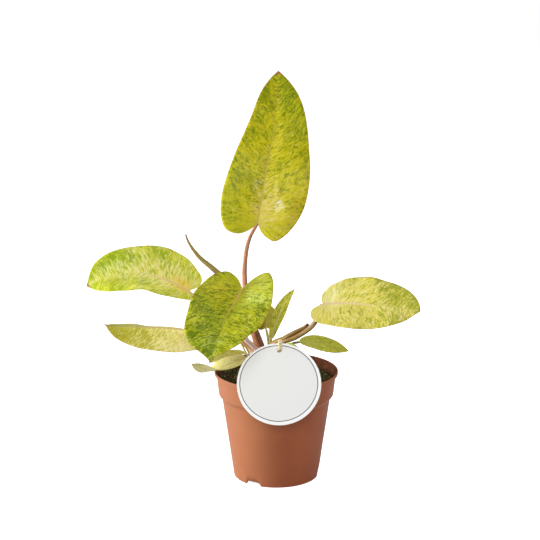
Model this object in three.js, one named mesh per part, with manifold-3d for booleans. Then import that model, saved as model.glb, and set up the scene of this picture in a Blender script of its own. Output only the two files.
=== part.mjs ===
// A potted painted lady philodendron: a young plant of five grown leaves and some small ones,
// in a thin-walled plastic nursery pot, with a round card tag tied on with twine.
// Millimetres, +Z up. The pot stands on z = 0 with its axis on Z, and -Y is the front.

import * as THREE from 'three';
import { mergeVertices } from 'three/addons/utils/BufferGeometryUtils.js';
import Module from 'manifold-3d';

const wasm = await Module();
wasm.setup();

// Clearance that pieces in contact keep
const GAP = 0.3;

// Pot: a standard 12 cm nursery pot
const POT = {
  height: 105.9,
  rimRadius: 60,
  lipDepth: 3.2,
  lipTopInside: 58.75,
  collarTopRadius: 57.7,
  collarTopZ: 100,
  collarFootRadius: 55.7,
  collarFootZ: 84.5,
  bodyTopRadius: 51.6,
  bodyTopZ: 76,
  footRadius: 41.3,
  footRing: 2,
  bevel: 0.6,
  wall: 1.2,
  floor: 1.6,
  discRadius: 22,
  channelZ: 4.5,
  channelSlope: 2.5,
  sides: 48,
};
const FOOT_NOTCH = { count: 3, width: 17, height: 3.8, depth: 12, angle: -123 };
const DRAIN_HOLE = { count: 6, radius: 3.5, ring: 31, sides: 12 };

// Soil: a low mound of peat
const SOIL = { edgeZ: 96.5, tilt: 1.5, mound: 3.5, lump: 1, lumpLength: [4.3, 5.1, 9], rings: 7 };

// Stem: short and stout, standing in its hole in the soil
const STEM = {
  path: [[-8, -5, 62], [-8, -6, 97], [-9, -6, 117]],
  radii: [6.5, 8.5, 7.5],
  scarSpacing: 7,
  scarRise: 0.5,
};

// Tag: a round card on doubled twine, leaning on the lip
const TAG = { radius: 40, thickness: 0.8, hole: 2.9, holeUp: 33, x: 2.5, z: 110, lean: 3.5, offLip: 0.6 };
const TWINE = {
  half: 1,
  double: 2.1,
  steps: 60,
  sides: 6,
  path: [[3, -55, 142.3], [3, -59, 142.5], [3, -60.9, 144.3], [3, -60.6, 148], [3, -59.9, 150.8], [3, -58, 151.7],
    [3.3, -45, 150], [4, -28, 146], [4, -20, 145], [4, -15, 139], [4, -14.5, 132], [4, -20, 129.5],
    [4, -29, 133], [3.5, -42, 138.5]],
};

// Leaf blades
const BLADE = { thickness: 0.8, ridge: 0.9, rows: 14, columns: [-1, -0.7, -0.4, -0.1, 0, 0.1, 0.4, 0.7, 1] };
const SMALL_BLADE = { thickness: 0.7, ridge: 0.4, rows: 9, columns: [-1, -0.6, -0.15, 0, 0.15, 0.6, 1] };
const VEIN_LEAN = 0.65;
const PLAIN_DROOP = 8;
const PLAIN_WAVE = [0.4, 1.5];
const HALF_PHASES = [0, 0.4];
const NEARBY = { across: 0.5, share: 0.01 };
// Half outlines, from the stalk joint round the lobe to the tip: [share of the half width, share of the length]
const OUTLINES = {
  crown: {
    left: [[0, 0], [0.17, -0.05], [0.45, -0.085], [0.78, -0.065], [0.96, 0.03], [1, 0.14], [0.97, 0.24],
      [0.84, 0.42], [0.6, 0.68], [0.42, 0.84], [0.2, 0.94], [0, 1]],
    right: [[0, 0], [0.12, -0.05], [0.3, -0.085], [0.48, -0.09], [0.72, -0.02], [0.9, 0.09], [0.97, 0.2],
      [0.95, 0.35], [0.85, 0.49], [0.66, 0.71], [0.5, 0.83], [0.29, 0.92], [0.09, 0.98], [0, 1]],
  },
  left: {
    left: [[0, 0], [0.2, -0.045], [0.45, -0.03], [0.68, 0.08], [0.82, 0.2], [0.87, 0.4], [0.98, 0.56],
      [0.9, 0.7], [0.78, 0.84], [0.5, 0.93], [0.22, 0.975], [0, 1]],
    right: [[0, 0], [0.22, -0.07], [0.4, -0.085], [0.57, -0.065], [0.79, 0.04], [0.95, 0.14], [1, 0.24],
      [0.97, 0.36], [0.9, 0.53], [0.8, 0.66], [0.72, 0.75], [0.56, 0.84], [0.37, 0.9], [0.18, 0.955], [0, 1]],
  },
  front: {
    left: [[0, 0], [0.12, -0.11], [0.3, -0.185], [0.48, -0.2], [0.62, -0.16], [0.79, -0.045], [0.9, 0.09],
      [0.97, 0.24], [1, 0.45], [0.95, 0.57], [0.86, 0.64], [0.72, 0.7], [0.53, 0.8], [0.26, 0.88],
      [0.07, 0.935], [0, 1]],
    right: [[0, 0], [0.19, -0.065], [0.37, -0.095], [0.54, -0.095], [0.72, -0.02], [0.89, 0.1], [0.97, 0.25],
      [0.96, 0.4], [0.91, 0.54], [0.87, 0.68], [0.79, 0.79], [0.65, 0.86], [0.44, 0.9], [0.2, 0.94],
      [0.05, 0.97], [0, 1]],
  },
  low_left: {
    left: [[0, 0], [0.3, -0.03], [0.6, 0.03], [0.78, 0.15], [0.93, 0.32], [1, 0.46], [0.94, 0.6],
      [0.84, 0.72], [0.68, 0.82], [0.48, 0.89], [0.22, 0.935], [0.05, 0.965], [0, 1]],
    right: [[0, 0], [0.3, -0.03], [0.6, 0.03], [0.78, 0.15], [0.93, 0.32], [1, 0.46], [0.94, 0.6],
      [0.84, 0.72], [0.68, 0.82], [0.48, 0.89], [0.22, 0.935], [0.05, 0.965], [0, 1]],
  },
  right: {
    left: [[0, 0], [0.17, -0.02], [0.36, -0.012], [0.6, 0.045], [0.76, 0.13], [0.9, 0.21], [0.99, 0.31],
      [1, 0.42], [0.93, 0.55], [0.86, 0.68], [0.74, 0.78], [0.58, 0.87], [0.38, 0.94], [0.17, 0.985], [0, 1]],
    right: [[0, 0], [0.09, -0.045], [0.23, -0.088], [0.45, -0.087], [0.64, -0.05], [0.78, 0.02], [0.86, 0.13],
      [0.96, 0.26], [1, 0.4], [0.93, 0.54], [0.85, 0.67], [0.74, 0.77], [0.54, 0.865], [0.31, 0.93],
      [0.12, 0.975], [0, 1]],
  },
};
const LANCE = [[0, 0], [0.35, 0.04], [0.68, 0.16], [0.95, 0.36], [1, 0.5], [0.82, 0.7], [0.42, 0.88],
  [0.14, 0.965], [0, 1]];
const OVATE = [[0, 0], [0.35, -0.05], [0.75, 0], [1, 0.2], [0.97, 0.4], [0.75, 0.7], [0.4, 0.9], [0, 1]];

// Each leaf: midrib points from joint to tip, the way its upper side looks, half widths [left, right],
// fold [at joint, at tip], droop and twist in degrees, margin wave [height, count], and its stalk's path
// up to the joint, with radii. lobeDrop lowers the end of the stalk, to clear lobes that hang below the joint.
const LEAVES = {
  crown: {
    midrib: [[-18, 2, 251], [-10, 12, 296], [-2, 34, 340], [2, 60, 389]],
    face: [0, -0.92, 0.39],
    halfWidth: [38, 44],
    fold: [14, 8],
    droop: 18,
    wave: [1.2, 2.5],
    stalk: [[-10, -6, 112], [-15, -5, 128], [-21, -5, 146], [-27, -3, 169], [-30, -1, 191], [-30, 1, 213],
      [-26, 2, 235]],
    stalkRadii: [5.5, 4.8, 3.6, 2.6, 2.2, 1.8, 1.4],
  },
  left: {
    midrib: [[-84, 5, 184], [-103, 3, 194], [-132, 0, 203], [-162, -3, 200], [-181, -8, 192]],
    face: [0, -0.53, 0.85],
    halfWidth: [28, 36],
    fold: [14, 10],
    droop: 8,
    wave: [1, 2.5],
    stalk: [[-12, -4, 108], [-22, -7, 124], [-34, -4, 136], [-52, 0, 155], [-70, 4, 170]],
    stalkRadii: [3.2, 2.8, 2.4, 2.1, 1.6],
  },
  front: {
    midrib: [[-32, -22, 193], [-39, -48, 186], [-46, -78, 181], [-53, -106, 167], [-60, -124, 150]],
    face: [0, -0.43, 0.9],
    halfWidth: [38, 39],
    fold: [28, 4],
    droop: 18,
    wave: [1, 2.5],
    stalk: [[-11, -10, 106], [-17, -15, 127], [-28, -17, 143], [-32, -21, 163], [-32, -23, 180]],
    stalkRadii: [3.2, 2.9, 2.5, 2.2, 1.7],
  },
  low_left: {
    midrib: [[-62, 8, 139], [-93, 5, 145.5], [-131, 0, 149.5], [-160, -4, 151.5], [-167, -4, 154]],
    face: [0, -0.2, 0.98],
    halfWidth: [30, 30],
    fold: [-24, -16],
    lobeDrop: 0.8,
    droop: 8,
    wave: [0.8, 2.5],
    stalk: [[-16, -11, 103], [-26, -19, 121], [-33, -17, 131], [-39, -9, 136], [-50, 3, 136]],
    stalkRadii: [1.7, 1.5, 1.4, 1.3, 1.2],
  },
  right: {
    midrib: [[43, -40, 183], [65, -50, 186], [88, -60, 187], [110, -69, 187], [131, -78, 186]],
    face: [0.15, -0.7, 0.7],
    halfWidth: [30, 30],
    fold: [10, 6],
    droop: 8,
    wave: [0.9, 2.5],
    stalk: [[-5, -9, 110], [-3, -15, 127], [4, -22, 139], [13, -28, 146], [22, -33, 153], [33, -38, 165]],
    stalkRadii: [3.6, 3.2, 2.5, 2.3, 2.1, 1.6],
    sheath: [[[-2, -17, 132], [10, -26, 146], [20, -30, 154.5], [30, -32, 162]], [2.2, 2, 1.6, 0.4]],
  },
};
const SMALL_STALK = [1.6, 1.2, 0.9];

const SMALL_LEAVES = {
  lance: {
    midrib: [[-5, -9, 139], [0, -9, 157], [8, -7, 176], [17, -4, 187]],
    face: [0.3, -0.9, 0.3],
    halfWidth: [8.5, 5],
    fold: [35, 25],
    stalk: [[-7, -7, 119], [-7, -8, 130]],
  },
  back: {
    midrib: [[-10, 4, 147], [-11, 10, 158], [-14, 16, 171]],
    face: [0, 0.9, -0.4],
    outline: { left: OVATE, right: OVATE },
    halfWidth: [15, 10],
    lobeDrop: 0.5,
    fold: [20, 15],
    stalk: [[-6, -1, 117], [-7, -1.5, 130]],
  },
  low_right: {
    midrib: [[22, 2, 134], [35, 4, 133], [47, 6, 130], [60, 8, 126], [71, 10, 122]],
    face: [0.1, -0.5, 0.86],
    halfWidth: [9, 9],
    fold: [6, 6],
    stalk: [[-2, -7, 106], [2, -9, 122], [11, -3, 130]],
  },
  low_front: {
    midrib: [[-28, -22, 125], [-38, -29, 124], [-48, -35, 122], [-63, -42, 119], [-80, -48, 125]],
    face: [0.1, -0.35, 0.9],
    halfWidth: [9, 9],
    fold: [15, 30],
    twist: 120,
    stalk: [[-14, -12, 104], [-21, -19, 119]],
  },
  tucked: {
    midrib: [[-30, -8, 127], [-40, -10, 126], [-49, -15, 125], [-61, -20, 122]],
    face: [0.1, -0.3, 0.95],
    halfWidth: [6, 6],
    fold: [20, 20],
    stalk: [[-16, -6, 102], [-24, -9, 116]],
  },
  arching: {
    midrib: [[8, -36, 140], [13, -39, 142.5], [20, -42, 140], [26, -44, 130]],
    lobeDrop: -0.8,
    face: [0.2, -0.2, 0.95],
    halfWidth: [4, 4],
    fold: [20, 20],
    stalk: [[-2, -11, 103], [5, -24, 122]],
  },
};

// Spear: the next leaf, still rolled
const SPEAR = {
  path: [[-10, 0, 112], [-14, 4, 127], [-22, 5, 147], [-33, 5, 170], [-48, 6, 193], [-62, 8, 206], [-74, 10, 216],
    [-84, 11, 230], [-87, 12, 238]],
  radii: [2.4, 2.5, 2.6, 2.6, 2.5, 2.2, 1.8, 1.2, 0.5],
};

const COLOURS = {
  terracotta: 0xb9805f,
  peat: 0x2d2115,
  bark: 0x6a4a30,
  leafPale: 0xc3c070,
  leafOlive: 0x9a9a4a,
  leafGreen: 0x6f8038,
  stalk: 0xa07048,
  card: 0xebebe9,
  twine: 0xe4d9b8,
};

// Merges shared corners and drops the triangles that collapse at poles and tips
function welded(geometry) {
  const bare = geometry.clone();
  bare.deleteAttribute('normal');
  bare.deleteAttribute('uv');
  const merged = mergeVertices(bare, 1e-3);
  const kept = [];
  const index = merged.index.array;
  for (let i = 0; i < index.length; i += 3) {
    const [a, b, c] = [index[i], index[i + 1], index[i + 2]];
    if (a !== b && b !== c && c !== a) kept.push(a, b, c);
  }
  merged.setIndex(kept);
  return merged;
}

function solid(geometry) {
  const closed = welded(geometry);
  return new wasm.Manifold(new wasm.Mesh({
    numProp: 3,
    vertProperties: new Float32Array(closed.attributes.position.array),
    triVerts: new Uint32Array(closed.index.array),
  }));
}

// A solid's surface as a geometry; loose scraps that a cut left are dropped
function surface(shape) {
  const bodies = shape.decompose();
  bodies.sort((a, b) => b.volume() - a.volume());
  const mesh = bodies[0].getMesh();
  const geometry = new THREE.BufferGeometry();
  geometry.setAttribute('position', new THREE.BufferAttribute(new Float32Array(mesh.vertProperties), 3));
  geometry.setIndex([...mesh.triVerts]);
  geometry.computeVertexNormals();
  return geometry;
}

function fromLists(positions, triangles) {
  const geometry = new THREE.BufferGeometry();
  geometry.setAttribute('position', new THREE.Float32BufferAttribute(positions, 3));
  geometry.setIndex(triangles);
  return geometry;
}

// Stands a profile of [radius, height] points up as a turned solid
function turned(profile, sides) {
  const lathe = new THREE.LatheGeometry(profile.map(([r, z]) => new THREE.Vector2(r, z)), sides);
  lathe.rotateX(Math.PI / 2);
  return lathe;
}

function curveThrough(points, closed = false) {
  return new THREE.CatmullRomCurve3(points.map((p) => new THREE.Vector3(...p)), closed, 'centripetal');
}

// A value read from a short list, evenly spaced along 0..1
function along(list, t) {
  const at = Math.min(Math.max(t, 0), 1) * (list.length - 1);
  const low = Math.min(Math.floor(at), list.length - 2);
  return THREE.MathUtils.lerp(list[low], list[low + 1], at - low);
}

// A tapering round stalk along a path, closed at both ends; grow widens it for a cut
function stalk(points, radii, options = {}) {
  const { sides = 8, steps = 12, grow = 0, widen = 1, closed = false, swell = () => 0 } = options;
  const path = curveThrough(points, closed);
  const frames = path.computeFrenetFrames(steps, closed);
  const positions = [];
  const triangles = [];
  const rings = closed ? steps : steps + 1;
  for (let i = 0; i < rings; i += 1) {
    const t = i / steps;
    const beyond = closed ? 0 : grow * (Number(i === steps) - Number(i === 0));
    const centre = path.getPointAt(t).addScaledVector(frames.tangents[i], beyond);
    const radius = along(radii, t) + swell(t) + grow;
    for (let k = 0; k < sides; k += 1) {
      const angle = (2 * Math.PI * k) / sides;
      const corner = centre.clone()
        .addScaledVector(frames.normals[i], widen * radius * Math.cos(angle))
        .addScaledVector(frames.binormals[i], radius * Math.sin(angle));
      positions.push(...corner.toArray());
    }
  }
  for (let i = 0; i < steps; i += 1) {
    for (let k = 0; k < sides; k += 1) {
      const a = i * sides + k;
      const b = i * sides + ((k + 1) % sides);
      const c = ((i + 1) % rings) * sides + ((k + 1) % sides);
      const d = ((i + 1) % rings) * sides + k;
      triangles.push(a, b, c, a, c, d);
    }
  }
  if (closed) return fromLists(positions, triangles);
  const last = steps * sides;
  for (let k = 1; k < sides - 1; k += 1) {
    triangles.push(0, k + 1, k, last, last + k, last + k + 1);
  }
  return fromLists(positions, triangles);
}

// The leaf's surface: flat leaf coordinates (mm across, share along) to a point in space
function leafSurface(leaf) {
  const midrib = curveThrough(leaf.midrib);
  const face = new THREE.Vector3(...leaf.face);
  const length = midrib.getLength();
  return (across, share) => {
    const t = Math.min(Math.max(share, 0), 1);
    const forward = midrib.getTangentAt(t);
    const up = face.clone().addScaledVector(forward, -face.dot(forward)).normalize();
    up.applyAxisAngle(forward, THREE.MathUtils.degToRad(leaf.twist ?? 0) * t * t);
    const right = new THREE.Vector3().crossVectors(forward, up);
    const side = across < 0 ? 0 : 1;
    const halfWidth = leaf.halfWidth[side];
    const distance = Math.abs(across);
    const fold = THREE.MathUtils.degToRad(THREE.MathUtils.lerp(leaf.fold[0], leaf.fold[1], t));
    const bend = THREE.MathUtils.degToRad(leaf.droop ?? PLAIN_DROOP) / halfWidth;
    const sideways = (Math.sin(fold) - Math.sin(fold - bend * distance)) / bend;
    const [waveHeight, waveCount] = leaf.wave ?? PLAIN_WAVE;
    const ripple = Math.sin(2 * Math.PI * (waveCount * share + HALF_PHASES[side]));
    const rise = (Math.cos(fold - bend * distance) - Math.cos(fold)) / bend
      + waveHeight * ripple * (distance / halfWidth) ** 2;
    return midrib.getPointAt(t)
      .addScaledVector(forward, (share - t) * length)
      .addScaledVector(right, Math.sign(across) * sideways)
      .addScaledVector(up, rise);
  };
}

// Where on the midrib the side vein that ends at an outline point begins
function veinStart(share) {
  return Math.max(0, share - VEIN_LEAN * share * (1 - share));
}

// A closed blade: rows run from the midrib out along the side veins, and fan out in the lobes
function blade(leaf, { rows, columns, thickness, ridge }, grow = 0) {
  const point = leafSurface(leaf);
  const { left, right } = leaf.outline ?? { left: LANCE, right: LANCE };
  const halves = [left, right].map((half) => new THREE.SplineCurve(half.map((p) => new THREE.Vector2(...p))));
  const upper = [];
  const lower = [];
  for (let r = 0; r <= rows; r += 1) {
    const edges = halves.map((half) => half.getPointAt(r / rows));
    const veinShare = (veinStart(edges[0].y) + veinStart(edges[1].y)) / 2;
    for (const column of columns) {
      const side = column < 0 ? 0 : 1;
      const share = THREE.MathUtils.lerp(veinShare, edges[side].y, Math.abs(column));
      const widened = r > 0 && r < rows ? 2 * grow : 0;
      const across = column * (Math.max(edges[side].x, 0) * leaf.halfWidth[side] + widened);
      const top = point(across, share);
      const sideways = point(across + NEARBY.across, share).sub(point(across - NEARBY.across, share));
      const forwards = point(across, share + NEARBY.share).sub(point(across, share - NEARBY.share));
      const normal = sideways.cross(forwards).normalize();
      const deep = column === 0 || r === 0 ? ridge * (1 - veinShare) : 0;
      upper.push(...top.addScaledVector(normal, grow).toArray());
      lower.push(...top.addScaledVector(normal, -(thickness + deep + 2 * grow)).toArray());
    }
  }
  const width = columns.length;
  const offset = (rows + 1) * width;
  const triangles = [];
  for (let r = 0; r < rows; r += 1) {
    for (let c = 0; c < width - 1; c += 1) {
      const a = r * width + c;
      const b = a + width;
      triangles.push(a, a + 1, b + 1, a, b + 1, b);
      triangles.push(offset + a, offset + b + 1, offset + a + 1, offset + a, offset + b, offset + b + 1);
    }
    const left = r * width;
    const right = left + width - 1;
    triangles.push(left, left + width, left + width + offset, left, left + width + offset, left + offset);
    triangles.push(right, right + offset + width, right + width, right, right + offset, right + offset + width);
  }
  return fromLists([...upper, ...lower], triangles);
}

// The pot's inside from the middle of its floor to the lip, set in by an amount
function potInside(inset) {
  const { floor, bevel } = POT;
  const wall = POT.wall + inset;
  const lowest = THREE.MathUtils.lerp(POT.footRadius, POT.bodyTopRadius, POT.channelZ / POT.bodyTopZ);
  return [
    [POT.discRadius - bevel - inset, floor + inset],
    [POT.discRadius - bevel + POT.channelSlope - inset, POT.channelZ + floor + inset],
    [lowest + bevel / 3 - wall, POT.channelZ + floor + inset],
    [POT.bodyTopRadius - wall, POT.bodyTopZ + bevel / 2],
    [POT.bodyTopRadius + bevel - wall, POT.bodyTopZ + 3 * bevel],
    [POT.collarFootRadius - bevel - wall, POT.collarFootZ - 2 * bevel],
    [POT.collarFootRadius - wall, POT.collarFootZ + bevel / 2],
    [POT.collarTopRadius - wall, POT.collarTopZ],
  ];
}

function pot() {
  const { bevel } = POT;
  const lipFoot = POT.height - POT.lipDepth;
  const ringInside = POT.footRadius - POT.footRing;
  const outside = [
    [0, 0],
    [POT.discRadius, 0],
    [POT.discRadius + POT.channelSlope, POT.channelZ],
    [ringInside, POT.channelZ],
    [ringInside, 0],
    [POT.footRadius - bevel, 0],
    [POT.footRadius, 2 * bevel],
    [POT.bodyTopRadius, POT.bodyTopZ],
    [POT.bodyTopRadius + bevel, POT.bodyTopZ + 2.5 * bevel],
    [POT.collarFootRadius - bevel, POT.collarFootZ - 2.5 * bevel],
    [POT.collarFootRadius, POT.collarFootZ],
    [POT.collarTopRadius, POT.collarTopZ],
    [POT.collarTopRadius + bevel / 2, lipFoot - bevel],
    [POT.rimRadius - bevel, lipFoot],
    [POT.rimRadius, lipFoot + bevel],
    [POT.rimRadius, POT.height - bevel],
    [POT.rimRadius - bevel, POT.height],
    [POT.lipTopInside, POT.height],
  ];
  const inside = [...potInside(0).reverse(), [0, POT.floor]];
  let shape = solid(turned([...outside, ...inside], POT.sides));
  for (let i = 0; i < FOOT_NOTCH.count; i += 1) {
    const radius = FOOT_NOTCH.width / 2;
    const notch = new THREE.CylinderGeometry(radius, radius, FOOT_NOTCH.depth, POT.sides / 2);
    notch.rotateZ(Math.PI / 2);
    notch.scale(1, 1, FOOT_NOTCH.height / radius);
    notch.translate(POT.footRadius - POT.footRing / 2, 0, 0);
    notch.rotateZ(THREE.MathUtils.degToRad(FOOT_NOTCH.angle + (360 * i) / FOOT_NOTCH.count));
    shape = shape.subtract(solid(notch));
  }
  for (let i = 0; i < DRAIN_HOLE.count; i += 1) {
    const hole = new THREE.CylinderGeometry(DRAIN_HOLE.radius, DRAIN_HOLE.radius, 4 * POT.floor, DRAIN_HOLE.sides);
    hole.rotateX(Math.PI / 2);
    const angle = (2 * Math.PI * i) / DRAIN_HOLE.count;
    hole.translate(DRAIN_HOLE.ring * Math.cos(angle), DRAIN_HOLE.ring * Math.sin(angle), POT.channelZ);
    shape = shape.subtract(solid(hole));
  }
  return surface(shape);
}

// The peat: the pot's inside to the soil line, a low mound on top, and a plain hole for the stem
function soil() {
  const wall = potInside(GAP);
  const [[lowRadius, lowZ], [highRadius, highZ]] = wall.slice(-2);
  const edgeRadius = THREE.MathUtils.mapLinear(SOIL.edgeZ - SOIL.tilt, lowZ, highZ, lowRadius, highRadius);
  const profile = [[0, POT.floor + GAP], ...wall.slice(0, -1), [edgeRadius, SOIL.edgeZ]];
  for (let i = SOIL.rings - 1; i > 0; i -= 1) {
    profile.push([(edgeRadius * i) / SOIL.rings, SOIL.edgeZ + SOIL.mound * (1 - (i / SOIL.rings) ** 2)]);
  }
  profile.push([0, SOIL.edgeZ + SOIL.mound]);
  const body = turned(profile, POT.sides);
  const [alongX, alongY, drift] = SOIL.lumpLength;
  const spots = body.attributes.position;
  for (let i = 0; i < spots.count; i += 1) {
    const [x, y, z] = [spots.getX(i), spots.getY(i), spots.getZ(i)];
    if (z > SOIL.edgeZ - 0.1) {
      const inward = Math.min(1, edgeRadius - Math.hypot(x, y));
      const lumps = SOIL.lump * Math.sin(x / alongX + 1) * Math.cos(y / alongY + x / drift);
      spots.setZ(i, z - (SOIL.tilt * x) / edgeRadius + inward * lumps);
    }
  }
  return surface(solid(body).subtract(solid(stemShape(GAP))));
}

function stemShape(grow = 0) {
  const length = curveThrough(STEM.path).getLength();
  const scars = length / STEM.scarSpacing;
  const swell = (t) => STEM.scarRise * Math.abs(Math.sin(Math.PI * scars * t));
  return stalk(STEM.path, STEM.radii, { sides: 12, steps: 20, grow, swell });
}

const part = new THREE.Group();

function add(name, geometry, colour, roughness) {
  const mesh = new THREE.Mesh(geometry, new THREE.MeshStandardMaterial({ color: colour, roughness, metalness: 0 }));
  mesh.name = name;
  part.add(mesh);
  return mesh;
}

add('pot', pot(), COLOURS.terracotta, 0.5);
add('soil', soil(), COLOURS.peat, 1);
add('stem', surface(solid(stemShape())), COLOURS.bark, 0.7);

const BLADE_COLOURS = {
  crown: COLOURS.leafPale, left: COLOURS.leafPale, front: COLOURS.leafGreen, low_left: COLOURS.leafPale,
  right: COLOURS.leafPale,
};

// Where a leaf's stalk ends: under the blade's joint, which it is cut to meet
function stalkEnd(leaf, style, radius) {
  const joint = new THREE.Vector3(...leaf.midrib[0]);
  const up = new THREE.Vector3(...leaf.face).normalize();
  return joint.addScaledVector(up, -(style.thickness + style.ridge + radius + (leaf.lobeDrop ?? 0))).toArray();
}

// Each stalk clasps the stem and the stalks before it, so its foot is cut to clear them
const clearances = [solid(stemShape(GAP))];

function addStalk(name, shapes, colour, neighbours = []) {
  const [body, grown] = [0, GAP].map((grow) => shapes
    .map(([path, radii]) => solid(stalk(path, radii, { grow, steps: 4 + 2 * path.length })))
    .reduce((whole, piece) => whole.add(piece)));
  const clear = [...clearances, ...neighbours].reduce((rest, other) => rest.subtract(other), body);
  add(name, surface(clear), colour, 0.5);
  clearances.push(grown);
}

function addLeaf(name, leaf, style, colour, radii) {
  add(`blade_${name}`, blade(leaf, style), colour, 0.4);
  const path = [...leaf.stalk, stalkEnd(leaf, style, radii.at(-1))];
  const shapes = leaf.sheath ? [[path, radii], leaf.sheath] : [[path, radii]];
  const keel = solid(stalk(leaf.midrib, [style.thickness + style.ridge, style.thickness], { grow: GAP }));
  addStalk(`petiole_${name}`, shapes, COLOURS.stalk, [solid(blade(leaf, style, GAP)), keel]);
}

for (const [name, leaf] of Object.entries(LEAVES)) {
  addLeaf(name, { outline: OUTLINES[name], ...leaf }, BLADE, BLADE_COLOURS[name], leaf.stalkRadii);
}
addStalk('spear', [[SPEAR.path, SPEAR.radii]], COLOURS.leafOlive);
for (const [name, leaf] of Object.entries(SMALL_LEAVES)) {
  addLeaf(name, leaf, SMALL_BLADE, COLOURS.leafOlive, SMALL_STALK);
}

function tag() {
  const card = new THREE.Shape().absarc(0, 0, TAG.radius, 0, 2 * Math.PI);
  card.holes.push(new THREE.Path().absarc(0, TAG.holeUp, TAG.hole, 0, 2 * Math.PI, true));
  const plate = new THREE.ExtrudeGeometry(card, { depth: TAG.thickness, bevelEnabled: false, curveSegments: 32 });
  plate.translate(0, 0, -TAG.thickness / 2);
  return plate;
}

const tagLean = THREE.MathUtils.degToRad(TAG.lean);
const tagMesh = add('tag', tag(), COLOURS.card, 0.6);
tagMesh.rotation.x = Math.PI / 2 - tagLean;
tagMesh.position.set(TAG.x, -(POT.rimRadius + TAG.offLip + TAG.thickness / 2), TAG.z);

add('tag_string', stalk(TWINE.path, [TWINE.half, TWINE.half],
  { closed: true, widen: TWINE.double, steps: TWINE.steps, sides: TWINE.sides }), COLOURS.twine, 0.9);

export default part;
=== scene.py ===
"""Dresses the potted painted lady philodendron: a young plant with mottled heart-shaped leaves
in a thin plastic nursery pot, with a blank round card tied on with twine.

The leaves repeat the named values of the part's source in millimetres, and are drawn finer here:
their halves keep their outline, fold and droop, and gain veins, a keel and mottled streaks.
"""

import math

import bmesh
import bpy
import numpy as np
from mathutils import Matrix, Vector, noise


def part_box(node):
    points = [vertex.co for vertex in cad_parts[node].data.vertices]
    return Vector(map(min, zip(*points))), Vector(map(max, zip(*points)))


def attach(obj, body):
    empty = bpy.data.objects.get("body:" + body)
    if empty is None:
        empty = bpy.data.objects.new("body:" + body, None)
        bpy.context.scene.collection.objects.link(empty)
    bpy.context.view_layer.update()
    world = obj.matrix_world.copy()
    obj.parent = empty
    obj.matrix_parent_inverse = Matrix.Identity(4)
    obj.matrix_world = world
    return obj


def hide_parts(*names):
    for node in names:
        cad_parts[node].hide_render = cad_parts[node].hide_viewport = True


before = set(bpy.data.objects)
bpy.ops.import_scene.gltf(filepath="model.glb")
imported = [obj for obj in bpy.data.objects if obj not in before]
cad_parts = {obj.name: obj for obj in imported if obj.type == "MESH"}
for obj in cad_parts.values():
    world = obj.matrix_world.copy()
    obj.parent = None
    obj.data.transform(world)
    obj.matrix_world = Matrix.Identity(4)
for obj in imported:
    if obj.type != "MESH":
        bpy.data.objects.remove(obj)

bl_info = {
    "name": "Potted Philodendron",
    "version": (1, 0, 0),
    "blender": (4, 5, 0),
    "location": "3D View > Sidebar > Plant",
    "description": "Builds a young variegated philodendron in its nursery pot",
    "category": "Object",
}

MM = 0.001
FULL_TURN = 2 * math.pi

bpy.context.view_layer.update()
POT_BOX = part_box("pot")

# Half outlines, from the stalk joint round the lobe to the tip:
# [share of the half width, share of the length]. The joint [0, 0] and the tip [0, 1] are added to each.
BROAD = [[0.3, -0.03], [0.6, 0.03], [0.78, 0.15], [0.93, 0.32], [1, 0.46], [0.94, 0.6], [0.84, 0.72],
    [0.68, 0.82], [0.48, 0.89], [0.22, 0.935], [0.05, 0.965]]
OUTLINES = {
    "crown": {
        "left": [[0.17, -0.05], [0.45, -0.085], [0.78, -0.065], [0.96, 0.03], [1, 0.14], [0.97, 0.24], [0.84, 0.42],
            [0.6, 0.68], [0.42, 0.84], [0.2, 0.94]],
        "right": [[0.12, -0.05], [0.3, -0.085], [0.48, -0.09], [0.72, -0.02], [0.9, 0.09], [0.97, 0.2], [0.95, 0.35],
            [0.85, 0.49], [0.66, 0.71], [0.5, 0.83], [0.29, 0.92], [0.09, 0.98]],
    },
    "left": {
        "left": [[0.2, -0.045], [0.45, -0.03], [0.68, 0.08], [0.82, 0.2], [0.87, 0.4], [0.98, 0.56], [0.9, 0.7],
            [0.78, 0.84], [0.5, 0.93], [0.22, 0.975]],
        "right": [[0.22, -0.07], [0.4, -0.085], [0.57, -0.065], [0.79, 0.04], [0.95, 0.14], [1, 0.24], [0.97, 0.36],
            [0.9, 0.53], [0.8, 0.66], [0.72, 0.75], [0.56, 0.84], [0.37, 0.9], [0.18, 0.955]],
    },
    "front": {
        "left": [[0.12, -0.12], [0.3, -0.2], [0.48, -0.218], [0.62, -0.178], [0.79, -0.055], [0.9, 0.09],
            [0.97, 0.24], [1, 0.45], [0.95, 0.57], [0.86, 0.64], [0.72, 0.7], [0.53, 0.8], [0.26, 0.88],
            [0.07, 0.935]],
        "right": [[0.19, -0.085], [0.37, -0.12], [0.54, -0.118], [0.72, -0.03], [0.89, 0.1], [0.97, 0.25],
            [0.96, 0.4], [0.91, 0.54], [0.87, 0.68], [0.79, 0.79], [0.65, 0.86], [0.44, 0.9], [0.2, 0.94],
            [0.05, 0.97]],
    },
    "low_left": {"left": BROAD, "right": BROAD},
    "right": {
        "left": [[0.17, -0.02], [0.36, -0.012], [0.6, 0.045], [0.76, 0.13], [0.9, 0.21], [0.99, 0.31], [1, 0.42],
            [0.93, 0.55], [0.86, 0.68], [0.74, 0.78], [0.58, 0.87], [0.38, 0.94], [0.17, 0.985]],
        "right": [[0.09, -0.045], [0.23, -0.088], [0.45, -0.087], [0.64, -0.05], [0.78, 0.02], [0.86, 0.13],
            [0.96, 0.26], [1, 0.4], [0.93, 0.54], [0.85, 0.67], [0.74, 0.77], [0.54, 0.865], [0.31, 0.93],
            [0.12, 0.975]],
    },
}
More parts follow.
